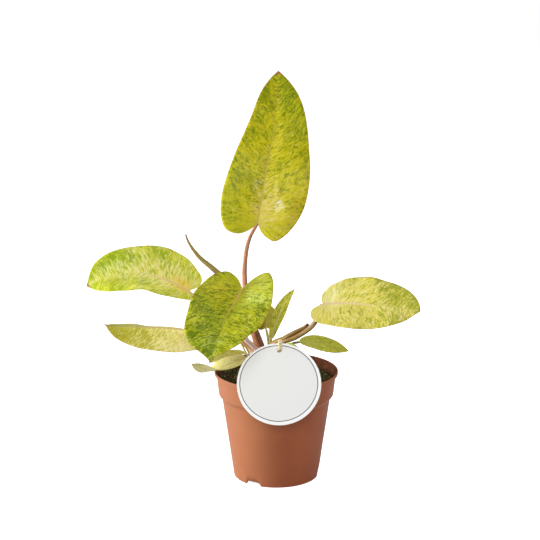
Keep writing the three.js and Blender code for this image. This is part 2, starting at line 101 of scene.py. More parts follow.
LANCE = [[0.35, 0.04], [0.68, 0.16], [0.95, 0.36], [1, 0.5], [0.82, 0.7], [0.42, 0.88], [0.14, 0.965]]
OVATE = [[0.35, -0.05], [0.75, 0], [1, 0.2], [0.97, 0.4], [0.75, 0.7], [0.4, 0.9]]

LEAVES = {
    "crown": {
        "midrib": [[-18, 2, 251], [-10, 12, 296], [-2, 34, 340], [2, 60, 389]], "face": [0, -0.92, 0.39],
        "half_width": [38, 44], "fold": [14, 8], "droop": 18, "wave": [1.2, 2.5],
        "stalk": [[-10, -6, 112], [-15, -5, 128], [-21, -5, 146], [-27, -3, 169], [-30, -1, 191], [-30, 1, 213],
            [-26, 2, 235]],
        "stalk_radii": [5.5, 4.8, 3.7, 2.8, 2.4, 2, 1.55],
    },
    "left": {
        "midrib": [[-84, 5, 184], [-103, 3, 194], [-132, 0, 203], [-162, -3, 200], [-181, -8, 192]],
        "face": [0, -0.53, 0.85], "half_width": [28, 36], "fold": [14, 10], "wave": [1, 2.5],
        "stalk": [[-12, -4, 108], [-21, -7, 124], [-25.7, -5.5, 128.8], [-32, -4, 134.7], [-39.3, -3, 141.6],
            [-52, 0, 155], [-70, 4, 170]],
        "stalk_radii": [3.2, 2.5, 2.3, 2.2, 1.9, 1.6],
    },
    "front": {
        "midrib": [[-32, -22, 193], [-39, -48, 186], [-46, -78, 181], [-53, -106, 167], [-60, -124, 150]],
        "face": [0, -0.43, 0.9], "half_width": [38, 39], "fold": [28, 4], "droop": 18, "wave": [1, 2.5],
        "stalk": [[-11, -10, 106], [-17.5, -14, 127], [-22.8, -16.5, 135.3], [-28.9, -18, 142], [-31.9, -20, 152],
            [-32, -21, 163], [-32, -23, 180]],
        "stalk_radii": [3.2, 2.7, 2.35, 2.3, 2.1, 1.7],
    },
    "low_left": {
        "midrib": [[-62, 8, 139], [-93, 5, 145.2], [-131, 0, 149], [-160, -4, 151.2], [-167, -4, 154]],
        "face": [0, -0.2, 0.98], "half_width": [30, 30], "fold": [-24, -16], "wave": [0.8, 2.5],
        "stalk": [[-16, -11, 103], [-25.6, -18.6, 122.6], [-29.5, -18, 129.3], [-32.6, -15, 134.4], [-36, -9, 136.6],
            [-49.6, 3, 136]],
        "stalk_radii": [1.7, 1.3, 0.9, 0.85, 1, 1.2],
        "sheath": [[[-24.2, -17.6, 123.8], [-27.2, -16.6, 130], [-30.2, -14, 134.1], [-33.4, -11, 135.8]],
            [1, 0.85, 0.8, 0.6]],
    },
    "right": {
        "midrib": [[43, -40, 183], [65, -50, 186], [88, -60, 187], [110, -69, 187], [131, -78, 186]],
        "face": [0.15, -0.7, 0.7], "half_width": [30, 30], "fold": [10, 6], "wave": [0.9, 2.5],
        "stalk": [[-5, -9, 110], [-4, -14, 127], [1, -21, 137], [8, -26.5, 142.5], [16.7, -31, 147],
            [21.7, -33, 150.4], [26.8, -35, 154.3], [31.8, -37, 158.8], [36.5, -39, 165], [38.5, -40, 171.5]],
        "stalk_radii": [3.6, 3.1, 2.4, 2.3, 2.3, 1.8],
        "sheath": [[[-8, -15, 129.5], [-5, -18.5, 135.8], [-2, -20.5, 139.5], [2, -22.5, 142], [7, -25.5, 145],
            [11, -27.3, 147.8], [16, -29, 151.1], [21, -30, 154.2], [26, -31, 157.2], [30, -32, 160.8]],
            [2, 2.3, 2.35, 2.4, 2.35, 2.1, 1.3]],
    },
}
SMALL_STALK = [1.6, 1.2, 0.9]

SMALL_LEAVES = {
    "lance": {
        "midrib": [[-5, -9, 139], [0.4, -9, 157], [9.2, -7, 176.3], [17.8, -4, 188]], "face": [0.3, -0.9, 0.3],
        "half_width": [8.5, 5], "fold": [35, 25], "stalk": [[-6.5, -7, 119], [-5.8, -8, 130], [-5.3, -8.6, 135.5]],
        "stalk_radii": [1.7, 1.8, 1.7],
    },
    "back": {
        "midrib": [[-10, 4, 147], [-11.3, 10, 157], [-15, 16, 168.3]], "face": [0, 0.9, -0.4],
        "outline": {"left": OVATE, "right": OVATE}, "half_width": [15, 10], "fold": [20, 15],
        "stalk": [[-6, -1, 117], [-7, -1.5, 130]],
        "sheath": [[[-5.8, -2, 122], [-6.2, -2, 130.6], [-7.4, 0, 139], [-9, 2, 145.4]], [0.9, 0.9, 0.85, 0.6]],
    },
    "low_right": {
        "midrib": [[22, 2, 134], [35, 4, 133], [47, 6, 130], [60, 8, 126], [71, 10, 122]], "face": [0.1, -0.5, 0.86],
        "half_width": [10.5, 10.3], "fold": [6, 6],
        "stalk": [[-2, -7, 106], [2, -9, 122], [10, -8, 132], [16.5, -4, 134]], "stalk_radii": [1.6, 1.4, 1.2, 1.1],
    },
    "low_front": {
        "midrib": [[-28, -22, 125], [-38, -29, 123.5], [-48, -35, 121], [-62, -42, 118], [-80, -48, 126.5]],
        "face": [0.1, -0.42, 0.87], "half_width": [10.5, 12.8], "fold": [6, 12], "twist": 120,
        "stalk": [[-14, -12, 104], [-21, -19, 119]],
    },
    "tucked": {
        "midrib": [[-30, -9, 126], [-40, -11, 125], [-49, -15.5, 123.2], [-64, -21.5, 120]],
        "face": [0.1, -0.35, 0.94], "half_width": [7, 7], "fold": [20, 20], "stalk": [[-16, -6, 102], [-24, -9, 116]],
    },
    "arching": {
        "midrib": [[6.5, -36, 140.5], [11, -39, 143], [17.5, -42, 140.8], [23.5, -44, 131]],
        "face": [0.2, -0.2, 0.95], "half_width": [4, 4], "fold": [20, 20], "stalk": [[-2, -11, 103], [5, -24, 122]],
    },
}

# Spear: the next leaf, still rolled
SPEAR = {
    "path": [[-10, 0, 112], [-14, 4, 127], [-22, 5, 147], [-33, 5, 170], [-48, 6, 193], [-62, 8, 206], [-74, 10, 216],
        [-84, 11, 230], [-87, 12, 238]],
    "radii": [3, 3.2, 3.3, 3.3, 3.2, 2.9, 2.4, 1.7, 0.7],
}

# How far side veins run back from the margin; the droop in degrees and the wave (height in mm, count) of a leaf
# that names none; where the waves of its halves begin; the rounding of the fold at the midrib, in mm
VEIN_LEAN = 0.65
PLAIN_DROOP = 8
PLAIN_WAVE = [0.4, 1.5]
HALF_PHASES = [0, 0.4]
GROOVE = 1.1

# The mesh and the body of a blade: how its columns crowd at the midrib and how its rows bend back to it, how its
# side veins are spread along it, and in mm the height and size of its swells, the width of its keel and how far
# from its edge it thins
COLUMN_CROWDING = 1.3
ROW_BEND = 1.2
VEIN_SPREAD = 1.15
SWELL_HEIGHT = 0.7
SWELL_SIZE = 16
KEEL_WIDTH = 1.2
THIN_EDGE = 3
BLADE_ROUGHNESS = 0.34

# Where the left half and the underside lie in the mottle's space, so that each has flecks of its own
LEFT_HALF_AT = 40.0
UNDERSIDE_AT = 3.0

POT = {
    "height": 105.9, "rim_radius": 60, "lip_depth": 3.2, "lip_top_inside": 58.75,
    "collar_top_radius": 57.7, "collar_top_z": 100, "collar_foot_radius": 55.7, "collar_foot_z": 82.8,
    "body_top_radius": 52.5, "body_top_z": 78.8, "foot_radius": 41.3, "foot_ring": 2, "bevel": 0.6,
    "wall": 1.2, "floor": 1.6, "corner": 0.45, "disc_radius": 22, "channel_z": 4.5, "channel_slope": 2.5,
}
NOTCH = {"count": 3, "width": 17, "height": 3.8, "angle": -123}
DRAIN = {"count": 6, "radius": 3.5, "ring": 31}
SOIL = {
    "edge_z": 96.5, "tilt": 1.5, "mound": 3.5, "lump": 1, "lump_length": [4.3, 5.1, 9], "clear": 0.3,
    "sides": 160, "rings": 44, "bumps": [[7, 1.1], [2.6, 0.7], [1.1, 0.35]],
}
STEM = {
    "path": [[-8, -5, 62], [-8, -6, 97], [-9, -6, 117]], "radii": [6.5, 8.5, 7.5], "scar_spacing": 7,
    "steps": 90, "sides": 32,
}
TAG = {
    "radius": 39.4, "thickness": 0.8, "soft_edge": 0.12, "sides": 144, "hole": 2.4, "hole_up": 33, "x": 2.5,
    "z": 110.6, "lean": 3.5, "off_lip": 0.6, "ring_middle": [-0.3, 0.9],
}
TWINE = {"points": 360, "gap": 1.85, "ply": 0.55, "pitch": 4.2}
TWINE_PATH = [
    [3, -55, 144], [3.3, -58.6, 144.2], [3.6, -60.7, 145.8], [3.6, -60.8, 148], [3.6, -60.3, 150.6],
    [3.6, -58.3, 151.9], [3.6, -51.5, 149.2], [3.2, -42, 143.5], [1, -30, 136], [-0.3, -20, 129.5],
    [-0.2, -15, 127.4], [-3.7, -10.4, 130.5], [-8.8, -14.5, 131.2], [-7, -20.5, 128.5], [-3, -30, 130],
    [1.5, -43, 136.5],
]

# Rings of the card's face, as shares of the way from the hole to the edge
CARD_RINGS = [0.0, 0.004, 0.02, 0.06, 0.15, 0.35, 0.6, 0.8, 0.94, 0.985, 1.0]

# Places and sizes of the lamps and the point they face, the floor's half width, and the camera fitted to the photo:
# its place left of the pot's axis, and its lens by focal length and picture width in pixels
LAMPS = {
    "key": ((-1.5, -0.05, 0.2), 0.9), "front": ((-0.1, -1.3, 1.0), 0.7), "top": ((0.2, 0.5, 1.6), 1.1),
    "fill": ((1.3, -0.1, 0.5), 0.8),
}
LAMP_TARGET = (0, 0, 0.18)
FLOOR_REACH = 4
CAMERA_ASIDE = -6 * MM
SENSOR_MM = 36
FOCAL_PX = 1615
PHOTO_PX = 540

# How each blade is coloured: streaks of dark and light, paler patches, and its lines.
# Zones are soft tints, some of them painted highlights and sheen: (share along, share across, reach along, spread
# across, tint)
PLAIN_BLADE = {
    "specular": 0.18, "softness": 0.06, "streak": 1.0, "dark_drift": (0, 0, 0), "pale_drift": (0, 0, 0), "zones": (),
    "rib_width": 1.0, "rib_fade": (0.55, 1.0), "rib_end": 0.35, "rib_strength": 0.85, "margin_strength": 0.6,
    "tip": (0.22, 0.06, 0.03), "tip_from": (0.965, 0.99),
}
BLADE_LOOKS = {
    "crown": {
        "dark": (0.16, 0.203, 0.002), "light": (0.56, 0.49, 0.01), "pale": (0.6, 0.53, 0.055),
        "under": (0.4, 0.38, 0.09), "dark_share": 0.46, "dark_drift": (0.4, 0.0, -0.1), "pale_share": 0.22,
        "pale_drift": (-0.3, 0.1, 0.3), "seed": 3.0, "softness": 0.12, "specular": 0.07,
        "zones": (
            # The first zone is a painted highlight on the lower right lobe; the last two are painted grey sheen beside
            # the midrib and along the right margin.
            (0.12, 0.42, 0.045, 0.14, (1.3, 1.35, 5.0)), (0.1, 0.15, 0.22, 0.5, (1.06, 1.0, 3.0)),
            (0.1, 0.85, 0.25, 0.3, (0.86, 0.8, 1.4)), (0.12, -0.8, 0.35, 0.5, (0.8, 0.87, 1.0)),
            (0.8, 0.6, 0.25, 0.6, (0.9, 0.96, 1.0)), (0.35, -0.15, 0.2, 0.2, (0.95, 0.95, 2.2)),
            (0.35, 0.95, 0.15, 0.12, (0.98, 0.95, 3.0)),
        ),
        "rib": (0.5, 0.35, 0.08), "rib_fade": (0.25, 0.8), "rib_end": 0.2, "rib_width": 0.55,
        "margin": (0.42, 0.24, 0.04), "margin_strength": 0.75, "tip": (0.35, 0.09, 0.05),
    },
    "left": {
        "dark": (0.31, 0.4, 0.012), "light": (0.6, 0.595, 0.052), "pale": (0.78, 0.725, 0.24),
        "under": (0.5, 0.5, 0.18), "dark_share": 0.48, "dark_drift": (0.25, 0.05, -0.1), "pale_share": 0.4,
        "pale_drift": (-0.2, 0.15, 0.55), "seed": 11.0, "streak": 1.5, "softness": 0.065, "specular": 0.12,
        "zones": (
            (0.45, -0.9, 0.25, 0.4, (1.25, 1.2, 2.0)), (0.7, 0.5, 0.25, 0.6, (0.82, 0.9, 0.8)),
            (0.05, 0.0, 0.2, 0.4, (1.05, 0.85, 0.5)), (0.75, -0.3, 0.2, 0.5, (0.85, 0.86, 0.7)),
        ),
        "rib": (0.72, 0.52, 0.25), "rib_fade": (0.2, 0.6), "rib_end": 0.1, "margin_strength": 0.35,
        "margin": (0.62, 0.45, 0.15), "tip": (0.3, 0.1, 0.08),
    },
    "front": {
        "dark": (0.11, 0.16, 0.003), "light": (0.47, 0.476, 0.014), "pale": (0.56, 0.56, 0.06),
        "under": (0.34, 0.36, 0.07), "dark_share": 0.5, "dark_drift": (0.3, 0.1, -0.1), "pale_share": 0.26,
        "pale_drift": (0.1, -0.1, 0.0), "seed": 5.0, "softness": 0.09, "specular": 0.05,
        "zones": (
            (0.0, -0.6, 0.32, 0.8, (1.3, 1.33, 3.6)), (0.28, -0.45, 0.16, 0.5, (1.15, 1.25, 2.5)),
            (0.12, 0.4, 0.22, 0.7, (1.18, 1.05, 1.3)), (0.6, 0.25, 0.14, 0.35, (0.72, 0.8, 0.4)),
            (0.6, -0.35, 0.12, 0.3, (0.88, 0.86, 0.8)), (0.88, 0.2, 0.2, 0.9, (0.85, 0.95, 2.2)),
        ),
        "rib": (0.62, 0.4, 0.09), "rib_fade": (0.1, 0.7), "rib_end": 0.1, "margin_strength": 0.45,
        "tip": (0.25, 0.09, 0.04),
    },
    "low_left": {
        "dark": (0.44, 0.41, 0.02), "light": (0.76, 0.675, 0.17), "pale": (0.96, 0.86, 0.39),
        "under": (0.55, 0.5, 0.2), "dark_share": 0.4, "dark_drift": (1.1, 0.0, 0.0), "pale_share": 0.5,
        "pale_drift": (-1.0, 0.0, 0.0), "seed": 21.0, "streak": 1.1, "softness": 0.11, "specular": 0.2,
        "rib": (0.7, 0.48, 0.28), "margin": (0.62, 0.36, 0.24), "margin_strength": 0.6,
        "tip": (0.42, 0.16, 0.14), "tip_from": (0.93, 0.985),
    },
    "right": {
        "dark": (0.26, 0.285, 0.012), "light": (0.59, 0.52, 0.085), "pale": (0.68, 0.595, 0.2),
        "under": (0.5, 0.45, 0.16), "dark_share": 0.42, "dark_drift": (0.45, -0.1, -0.15), "pale_share": 0.42,
        "pale_drift": (-0.3, 0.0, 0.3), "seed": 8.0, "streak": 1.1, "softness": 0.075, "specular": 0.15,
        "zones": (
            (0.05, -0.4, 0.2, 0.7, (1.12, 1.18, 1.7)), (0.75, -0.3, 0.15, 0.5, (0.85, 0.88, 0.7)),
            (0.4, 0.2, 0.2, 0.25, (0.92, 0.9, 0.7)), (0.9, 0.6, 0.15, 0.5, (1.2, 1.12, 1.6)),
        ),
        "rib": (0.64, 0.48, 0.27), "rib_fade": (0.35, 0.6), "rib_end": 0.1, "margin": (0.55, 0.34, 0.18),
        "margin_strength": 0.5, "tip": (0.2, 0.06, 0.03), "tip_from": (0.975, 0.995),
    },
    "lance": {
        "dark": (0.3, 0.3, 0.015), "light": (0.66, 0.64, 0.06), "pale": (0.85, 0.84, 0.3),
        "under": (0.6, 0.6, 0.3), "dark_share": 0.45, "pale_share": 0.05, "seed": 2.0, "streak": 0.5,
        "rib": (0.74, 0.7, 0.24), "rib_strength": 0.75, "margin_strength": 0.3, "specular": 0.15,
    },
    "back": {
        "dark": (0.37, 0.325, 0.05), "light": (0.56, 0.5, 0.08), "pale": (0.6, 0.55, 0.1),
        "under": (0.47, 0.425, 0.04), "dark_share": 0.5, "pale_share": 0.0, "seed": 4.0,
        "rib_strength": 0.4, "margin_strength": 0.4,
    },
    "low_right": {
        "dark": (0.34, 0.345, 0.022), "light": (0.54, 0.525, 0.042), "pale": (0.65, 0.62, 0.12),
        "under": (0.35, 0.33, 0.08), "dark_share": 0.5, "pale_share": 0.0, "seed": 6.0, "streak": 0.6,
        "rib": (0.42, 0.4, 0.08), "rib_strength": 0.5, "margin_strength": 0.35,
    },
    "low_front": {
        "dark": (0.58, 0.53, 0.11), "light": (0.8, 0.715, 0.26), "pale": (0.88, 0.8, 0.36),
        "under": (0.36, 0.38, 0.17), "dark_share": 0.35, "pale_share": 0.5, "seed": 9.0, "streak": 0.6,
        "rib_strength": 0.35, "margin_strength": 0.3, "tip": (0.25, 0.12, 0.06),
    },
    "tucked": {
        "dark": (0.62, 0.64, 0.12), "light": (0.85, 0.83, 0.24), "pale": (0.95, 0.92, 0.42),
        "under": (0.45, 0.3, 0.15), "dark_share": 0.45, "pale_share": 0.2, "seed": 12.0, "streak": 0.6,
        "rib_strength": 0.5, "margin_strength": 0.5, "tip": (0.15, 0.06, 0.03), "tip_from": (0.9, 0.97),
    },
    "arching": {
        "dark": (0.3, 0.33, 0.03), "light": (0.5, 0.52, 0.07), "pale": (0.6, 0.6, 0.2),
        "under": (0.4, 0.42, 0.1), "dark_share": 0.4, "pale_share": 0.1, "seed": 14.0, "streak": 0.6,
        "rib_strength": 0.3, "margin_strength": 0.2,
    },
}

# How each stalk is coloured: from foot to top, a side of another colour, mostly a darker side that is partly its own
# colour and partly painted shade, and its fibres
PLAIN_STALK = {
    "roughness": 0.4, "specular": 0.35, "change": (0.2, 0.8), "dark_turn": 0.3, "dark_edge": 0.2,
    "dark_strength": 0.7, "stripe_share": 0.4, "tip": (0.15, 0.05, 0.03), "tip_strength": 0.0,
}
STALK_LOOKS = {
    "crown": {
        "foot": (0.6, 0.255, 0.15), "top": (0.74, 0.35, 0.2), "dark": (0.13, 0.036, 0.018),
        "stripe": (0.27, 0.1, 0.04), "dark_turn": 0.18, "dark_edge": 0.0, "dark_strength": 0.85, "seed": 1.0,
    },
    "left": {
        "foot": (0.98, 0.62, 0.33), "top": (0.62, 0.42, 0.18), "dark": (0.75, 0.5, 0.17),
        "stripe": (1.0, 0.84, 0.66), "dark_turn": 0.75, "specular": 0.6, "roughness": 0.3, "seed": 2.0,
    },
    "front": {
        "foot": (1.0, 0.64, 0.62), "top": (0.5, 0.3, 0.12), "dark": (0.42, 0.14, 0.08),
        "stripe": (1.0, 0.8, 0.84), "dark_turn": 0.25, "dark_edge": 0.5, "specular": 0.6, "roughness": 0.3,
        "seed": 3.0,
    },
    "low_left": {
        "foot": (0.52, 0.42, 0.1), "top": (0.62, 0.5, 0.18), "dark": (0.22, 0.17, 0.03),
        "stripe": (0.75, 0.7, 0.25), "seed": 4.0,
    },
    "right": {
        "foot": (0.42, 0.23, 0.065), "top": (0.2, 0.11, 0.028), "dark": (0.06, 0.03, 0.01),
        "stripe": (0.36, 0.24, 0.07), "stripe_share": 0.3, "change": (0.3, 0.5), "dark_edge": 0.1,
        "dark_strength": 0.9, "tip": (0.1, 0.025, 0.015), "tip_strength": 1.0, "seed": 5.0,
    },
    "lance": {
        "foot": (0.34, 0.31, 0.035), "top": (0.42, 0.4, 0.04), "dark": (0.25, 0.19, 0.02),
        "stripe": (0.55, 0.52, 0.14), "seed": 6.0,
    },
    "back": {
        "foot": (0.72, 0.58, 0.22), "top": (0.78, 0.68, 0.26), "dark": (0.9, 0.82, 0.42),
        "stripe": (0.66, 0.56, 0.22), "dark_turn": 0.4, "seed": 7.0,
    },
    "low_right": {
        "foot": (0.12, 0.09, 0.02), "top": (0.14, 0.12, 0.03), "dark": (0.05, 0.04, 0.01),
        "stripe": (0.2, 0.18, 0.06), "seed": 8.0,
    },
    "low_front": {
        "foot": (0.25, 0.17, 0.04), "top": (0.32, 0.24, 0.06), "dark": (0.12, 0.07, 0.02), "stripe": (0.3, 0.2, 0.08),
        "seed": 9.0,
    },
    "tucked": {
        "foot": (0.22, 0.14, 0.03), "top": (0.3, 0.22, 0.05), "dark": (0.1, 0.06, 0.02),
        "stripe": (0.2, 0.16, 0.05), "seed": 10.0,
    },
    "arching": {
        "foot": (0.3, 0.3, 0.05), "top": (0.4, 0.44, 0.06), "dark": (0.2, 0.17, 0.04), "stripe": (0.3, 0.3, 0.1),
        "seed": 11.0,
    },
    "spear": {
        "foot": (0.33, 0.275, 0.045), "top": (0.33, 0.23, 0.05), "dark": (0.22, 0.15, 0.05),
        "stripe": (0.2, 0.16, 0.045), "tip_strength": 0.8, "stripe_share": 0.5, "seed": 12.0,
    },
    "stem": {
        "foot": (0.2, 0.1, 0.05), "top": (0.34, 0.16, 0.08), "dark": (0.12, 0.05, 0.025),
        "stripe": (0.14, 0.07, 0.03), "roughness": 0.6, "seed": 20.0,
    },
}


# Points that each stretch of a smooth path and of a half outline is divided into
PATH_STEPS = 40
OUTLINE_STEPS = 30

# Rings of a stalk for each point of its path
STALK_STEPS = 14


def hermite(start, end, leave, arrive, steps, last):
    """Points of a cubic stretch with given directions at its start and end. Only the last one includes its end."""
    w = np.linspace(0, 1, steps, endpoint=last)[:, None]
    return (start + leave * w + (3 * (end - start) - 2 * leave - arrive) * w**2
            + (2 * (start - end) + leave + arrive) * w**3)


def distance_along(line):
    """How far each point of a line is from its start, walked along it."""
    return np.concatenate([[0], np.cumsum(np.linalg.norm(np.diff(line, axis=0), axis=1))])


def read_line(at, walked, line):
    return np.stack([np.interp(at, walked, column) for column in line.T], -1)


def smooth_path(points, closed=False):
    """Centripetal Catmull-Rom curve. Returns place(t) -> (position, direction), and its length."""
    knots = np.array(points, float)
    count = len(knots)
    stretches = []
    spans = count if closed else count - 1
    for i in range(spans):
        p1, p2 = knots[i], knots[(i + 1) % count]
        p0 = knots[i - 1] if i > 0 or closed else 2 * p1 - p2
        p3 = knots[(i + 2) % count] if i + 2 < count or closed else 2 * p2 - p1
        d0, d1, d2 = [max(np.linalg.norm(a - b), 1e-6) ** 0.5 for a, b in ((p1, p0), (p2, p1), (p3, p2))]
        t1 = ((p1 - p0) / d0 - (p2 - p0) / (d0 + d1) + (p2 - p1) / d1) * d1
        t2 = ((p2 - p1) / d1 - (p3 - p1) / (d1 + d2) + (p3 - p2) / d2) * d1
        stretches.append(hermite(p1, p2, t1, t2, PATH_STEPS, i == spans - 1))
    line = np.concatenate(stretches)
    walked = distance_along(line)
    heading = np.gradient(line, walked, axis=0)

    def place(t):
        at = np.clip(t, 0, 1) * walked[-1]
        direction = read_line(at, walked, heading)
        return read_line(at, walked, line), direction / np.linalg.norm(direction, axis=-1, keepdims=True)

    return place, walked[-1]


def half_outline(points, rows):
    """Uniform Catmull-Rom through a half outline, read at even steps of its length."""
    knots = np.array([[0, 0], *points, [0, 1]], float)
    padded = np.vstack([knots[:1], knots, knots[-1:]])
    stretches = []
    for i in range(len(knots) - 1):
        p0, p1, p2, p3 = padded[i:i + 4]
        stretches.append(hermite(p1, p2, (p2 - p0) / 2, (p3 - p1) / 2, OUTLINE_STEPS, i == len(knots) - 2))
    line = np.concatenate(stretches)
    walked = distance_along(line)
    return read_line(np.linspace(0, walked[-1], rows + 1), walked, line)


def vein_start(share):
    """Where on the midrib the side vein that ends at an outline point begins."""
    return np.maximum(0, share - VEIN_LEAN * share * (1 - share))


def leaf_surface(leaf):
    """The leaf's surface: millimetres across and share along to points and normals in space."""
    place, length = smooth_path(leaf["midrib"])
    face = np.array(leaf["face"], float)
    wave_height, wave_count = leaf.get("wave", PLAIN_WAVE)

    def points(across, share):
        t = np.clip(share, 0, 1)
        centre, forward = place(t)
        up = face - (forward @ face)[..., None] * forward
        up /= np.linalg.norm(up, axis=-1, keepdims=True)
        turn = (np.radians(leaf.get("twist", 0)) * t * t)[..., None]
        up = up * np.cos(turn) + np.cross(forward, up) * np.sin(turn)
        right = np.cross(forward, up)
        half = np.where(across < 0, *leaf["half_width"])
        phase = np.where(across < 0, *HALF_PHASES)
        distance = np.abs(across)
        eased = np.sqrt(distance**2 + GROOVE**2) - GROOVE
        fold = np.radians(leaf["fold"][0] + (leaf["fold"][1] - leaf["fold"][0]) * t)
        bend = np.radians(leaf.get("droop", PLAIN_DROOP)) / half
        sideways = (np.sin(fold) - np.sin(fold - bend * distance)) / bend
        rise = (np.cos(fold - bend * eased) - np.cos(fold)) / bend
        rise = rise + wave_height * np.sin(2 * np.pi * (wave_count * share + phase)) * (distance / half) ** 2
        return (centre + forward * ((share - t) * length)[..., None]
                + right * (np.sign(across) * sideways)[..., None] + up * rise[..., None])

    def both(across, share):
        step, stride = 0.25, 0.004
        over = points(across + step, share) - points(across - step, share)
        along = points(across, share + stride) - points(across, share - stride)
        normal = np.cross(over, along)
        normal /= np.linalg.norm(normal, axis=-1, keepdims=True)
        return points(across, share), normal

    return both, length


def rough(points, size, seed):
    """Smooth noise between -1 and 1 at each point, of bumps about size millimetres across."""
    shift = Vector((seed * 17.3, seed * 5.1, seed * 9.7))
    return np.array([noise.noise(Vector(p) / size + shift) for p in points.reshape(-1, 3)]).reshape(points.shape[:-1])


def around(sides):
    """Even angles round a circle."""
    return FULL_TURN * np.arange(sides) / sides


def new_piece(name, points_mm, faces, material, nodes, smooth=True):
    """A mesh piece from points in millimetres, riding on the one body."""
    mesh = bpy.data.meshes.new(name)
    mesh.from_pydata([tuple(p) for p in np.asarray(points_mm, float) * MM], [], [list(map(int, f)) for f in faces])
    mesh.materials.append(material)
    return put_piece(name, mesh, nodes, smooth)


def put_piece(name, mesh, nodes=(), smooth=True):
    mesh.polygons.foreach_set("use_smooth", [smooth] * len(mesh.polygons))
    mesh.update()
    piece = bpy.data.objects.new(name, mesh)
    bpy.context.scene.collection.objects.link(piece)
    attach(piece, "root")
    if nodes:
        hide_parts(*nodes)
    return piece


def mark(piece, name, values):
    """Stores a number or a vector on each point, for materials and nodes to read."""
    values = np.asarray(values, np.float32)
    kind, field = ("FLOAT", "value") if values.ndim == 1 else ("FLOAT_VECTOR", "vector")
    layer = piece.data.attributes.new(name, kind, "POINT")
    layer.data.foreach_set(field, values.ravel())


def grid_faces(rows, columns, closed=False):
    """Quads of a grid of points, rows by columns. A closed one joins its last column to its first."""
    r, c = np.meshgrid(np.arange(rows - 1), np.arange(columns if closed else columns - 1), indexing="ij")
    a, b = (r * columns + c).ravel(), (r * columns + (c + 1) % columns).ravel()
    return np.stack([a, b, b + columns, a + columns], -1)


def merged(piece):
    """Closes seams and poles, and points the faces outwards."""
    seam = 0.002 * MM
    shape = bmesh.new()
    shape.from_mesh(piece.data)
    bmesh.ops.remove_doubles(shape, verts=shape.verts, dist=seam)
    bmesh.ops.dissolve_degenerate(shape, edges=shape.edges, dist=seam / 4)
    bmesh.ops.recalc_face_normals(shape, faces=shape.faces)
    shape.to_mesh(piece.data)
    shape.free()
    return piece


def plain_mesh(thing):
    """The mesh that an object and its modifiers make."""
    bpy.context.view_layer.update()
    return bpy.data.meshes.new_from_object(thing.evaluated_get(bpy.context.evaluated_depsgraph_get()))


def tube(path, radii, steps, sides, shape):
    """Points, faces and places (cm along, turns around, share) of a tapering stalk, pointed at both ends."""
    place, length = smooth_path(path)
    shares = np.linspace(0, 1, steps + 1)
    centres, forward = place(shares)
    side = np.array([0.3, -1, 0.2])
    turns = np.arange(sides) / sides
    angle = 2 * np.pi * turns
    rings, marks = [], []
    for i, t in enumerate(shares):
        side = side - (side @ forward[i]) * forward[i]
        side /= np.linalg.norm(side)
        other = np.cross(forward[i], side)
        radius = np.interp(t, np.linspace(0, 1, len(radii)), radii) * shape(t, turns)
        rings.append(centres[i] + (radius * np.cos(angle))[:, None] * side + (radius * np.sin(angle))[:, None] * other)
        marks.append(np.stack([np.full(sides, t * length / 10), turns, np.full(sides, t)], -1))
    points = np.concatenate(rings)
    marks = np.concatenate(marks)
    faces = list(grid_faces(steps + 1, sides, closed=True))
    for ring, t, out, radius, order in ((0, 0, -0.25, radii[0], -1), (steps, 1, 0.5, radii[-1], 1)):
        tip = len(points)
        points = np.vstack([points, centres[ring] + forward[ring] * out * radius])
        marks = np.vstack([marks, [t * length / 10, 0.5, t]])
        rim = ring * sides + np.arange(sides)
        faces += [(tip, *pair) for pair in np.stack([rim, np.roll(rim, -1)], -1)[:, ::order]]
    return points, faces, marks


class Value:
    """An output of a node to calculate with: each sum or product adds a maths node."""

    def __init__(self, socket):
        self.socket = socket

    def __add__(self, other):
        return maths("ADD", self, other)

    def __radd__(self, other):
        return maths("ADD", other, self)

    def __sub__(self, other):
        return maths("SUBTRACT", self, other)

    def __rsub__(self, other):
        return maths("SUBTRACT", other, self)

    def __mul__(self, other):
        return maths("MULTIPLY", self, other)

    def __truediv__(self, other):
        return maths("DIVIDE", self, other)


def find_socket(sockets, key):
    """The socket with a number, or the one in use that has a name."""
    return sockets[key] if isinstance(key, int) else next(s for s in sockets if s.name == key and s.enabled)


def node(kind, inputs=None, output=0, tree=None, **settings):
    """Adds a node to the tree of its inputs, sets or links them by name or number, and returns an output."""
    inputs = inputs or {}
    tree = tree or next(v.socket.id_data for v in inputs.values() if isinstance(v, Value))
    new = tree.nodes.new(kind)
    for name, value in settings.items():
        setattr(new, name, value)
    for key, value in inputs.items():
        target = find_socket(new.inputs, key)
        if isinstance(value, Value):
            tree.links.new(value.socket, target)
        else:
            target.default_value = value
    return Value(find_socket(new.outputs, output))


def connect(value, target):
    target.id_data.links.new(value.socket, target)


def all_outputs(value):
    """Every output of a value's node, by name."""
    return {socket.name: Value(socket) for socket in value.socket.node.outputs}


def maths(operation, *values):
    return node("ShaderNodeMath", dict(enumerate(values)), operation=operation)


def hypotenuse(a, b):
    return maths("SQRT", a * a + b * b)


def vector_maths(operation, *values):
    return node("ShaderNodeVectorMath", dict(enumerate(values)), operation=operation)


def scaled(vector, amount):
    return node("ShaderNodeVectorMath", {0: vector, "Scale": amount}, operation="SCALE")


def ramp(value, low, high, out_low=0.0, out_high=1.0):
    """A smooth step from low to high."""
    return node("ShaderNodeMapRange", {0: value, 1: low, 2: high, 3: out_low, 4: out_high},
                interpolation_type="SMOOTHSTEP")


def blend(share, first, second, how="MIX"):
    return node("ShaderNodeMix", {0: share, 6: first, 7: second}, 2, data_type="RGBA", blend_type=how)


def grain(place, scale, detail=3.0, roughness=0.55, distortion=0.0):
    """Noise, 0 to 1, whose bumps are 1 / scale of the place's unit."""
    return node("ShaderNodeTexNoise", {
        "Vector": place, "Scale": scale, "Detail": detail, "Roughness": roughness, "Distortion": distortion}, "Fac")


def attribute(tree, name, output="Vector"):
    return node("ShaderNodeAttribute", None, output, tree, attribute_name=name)


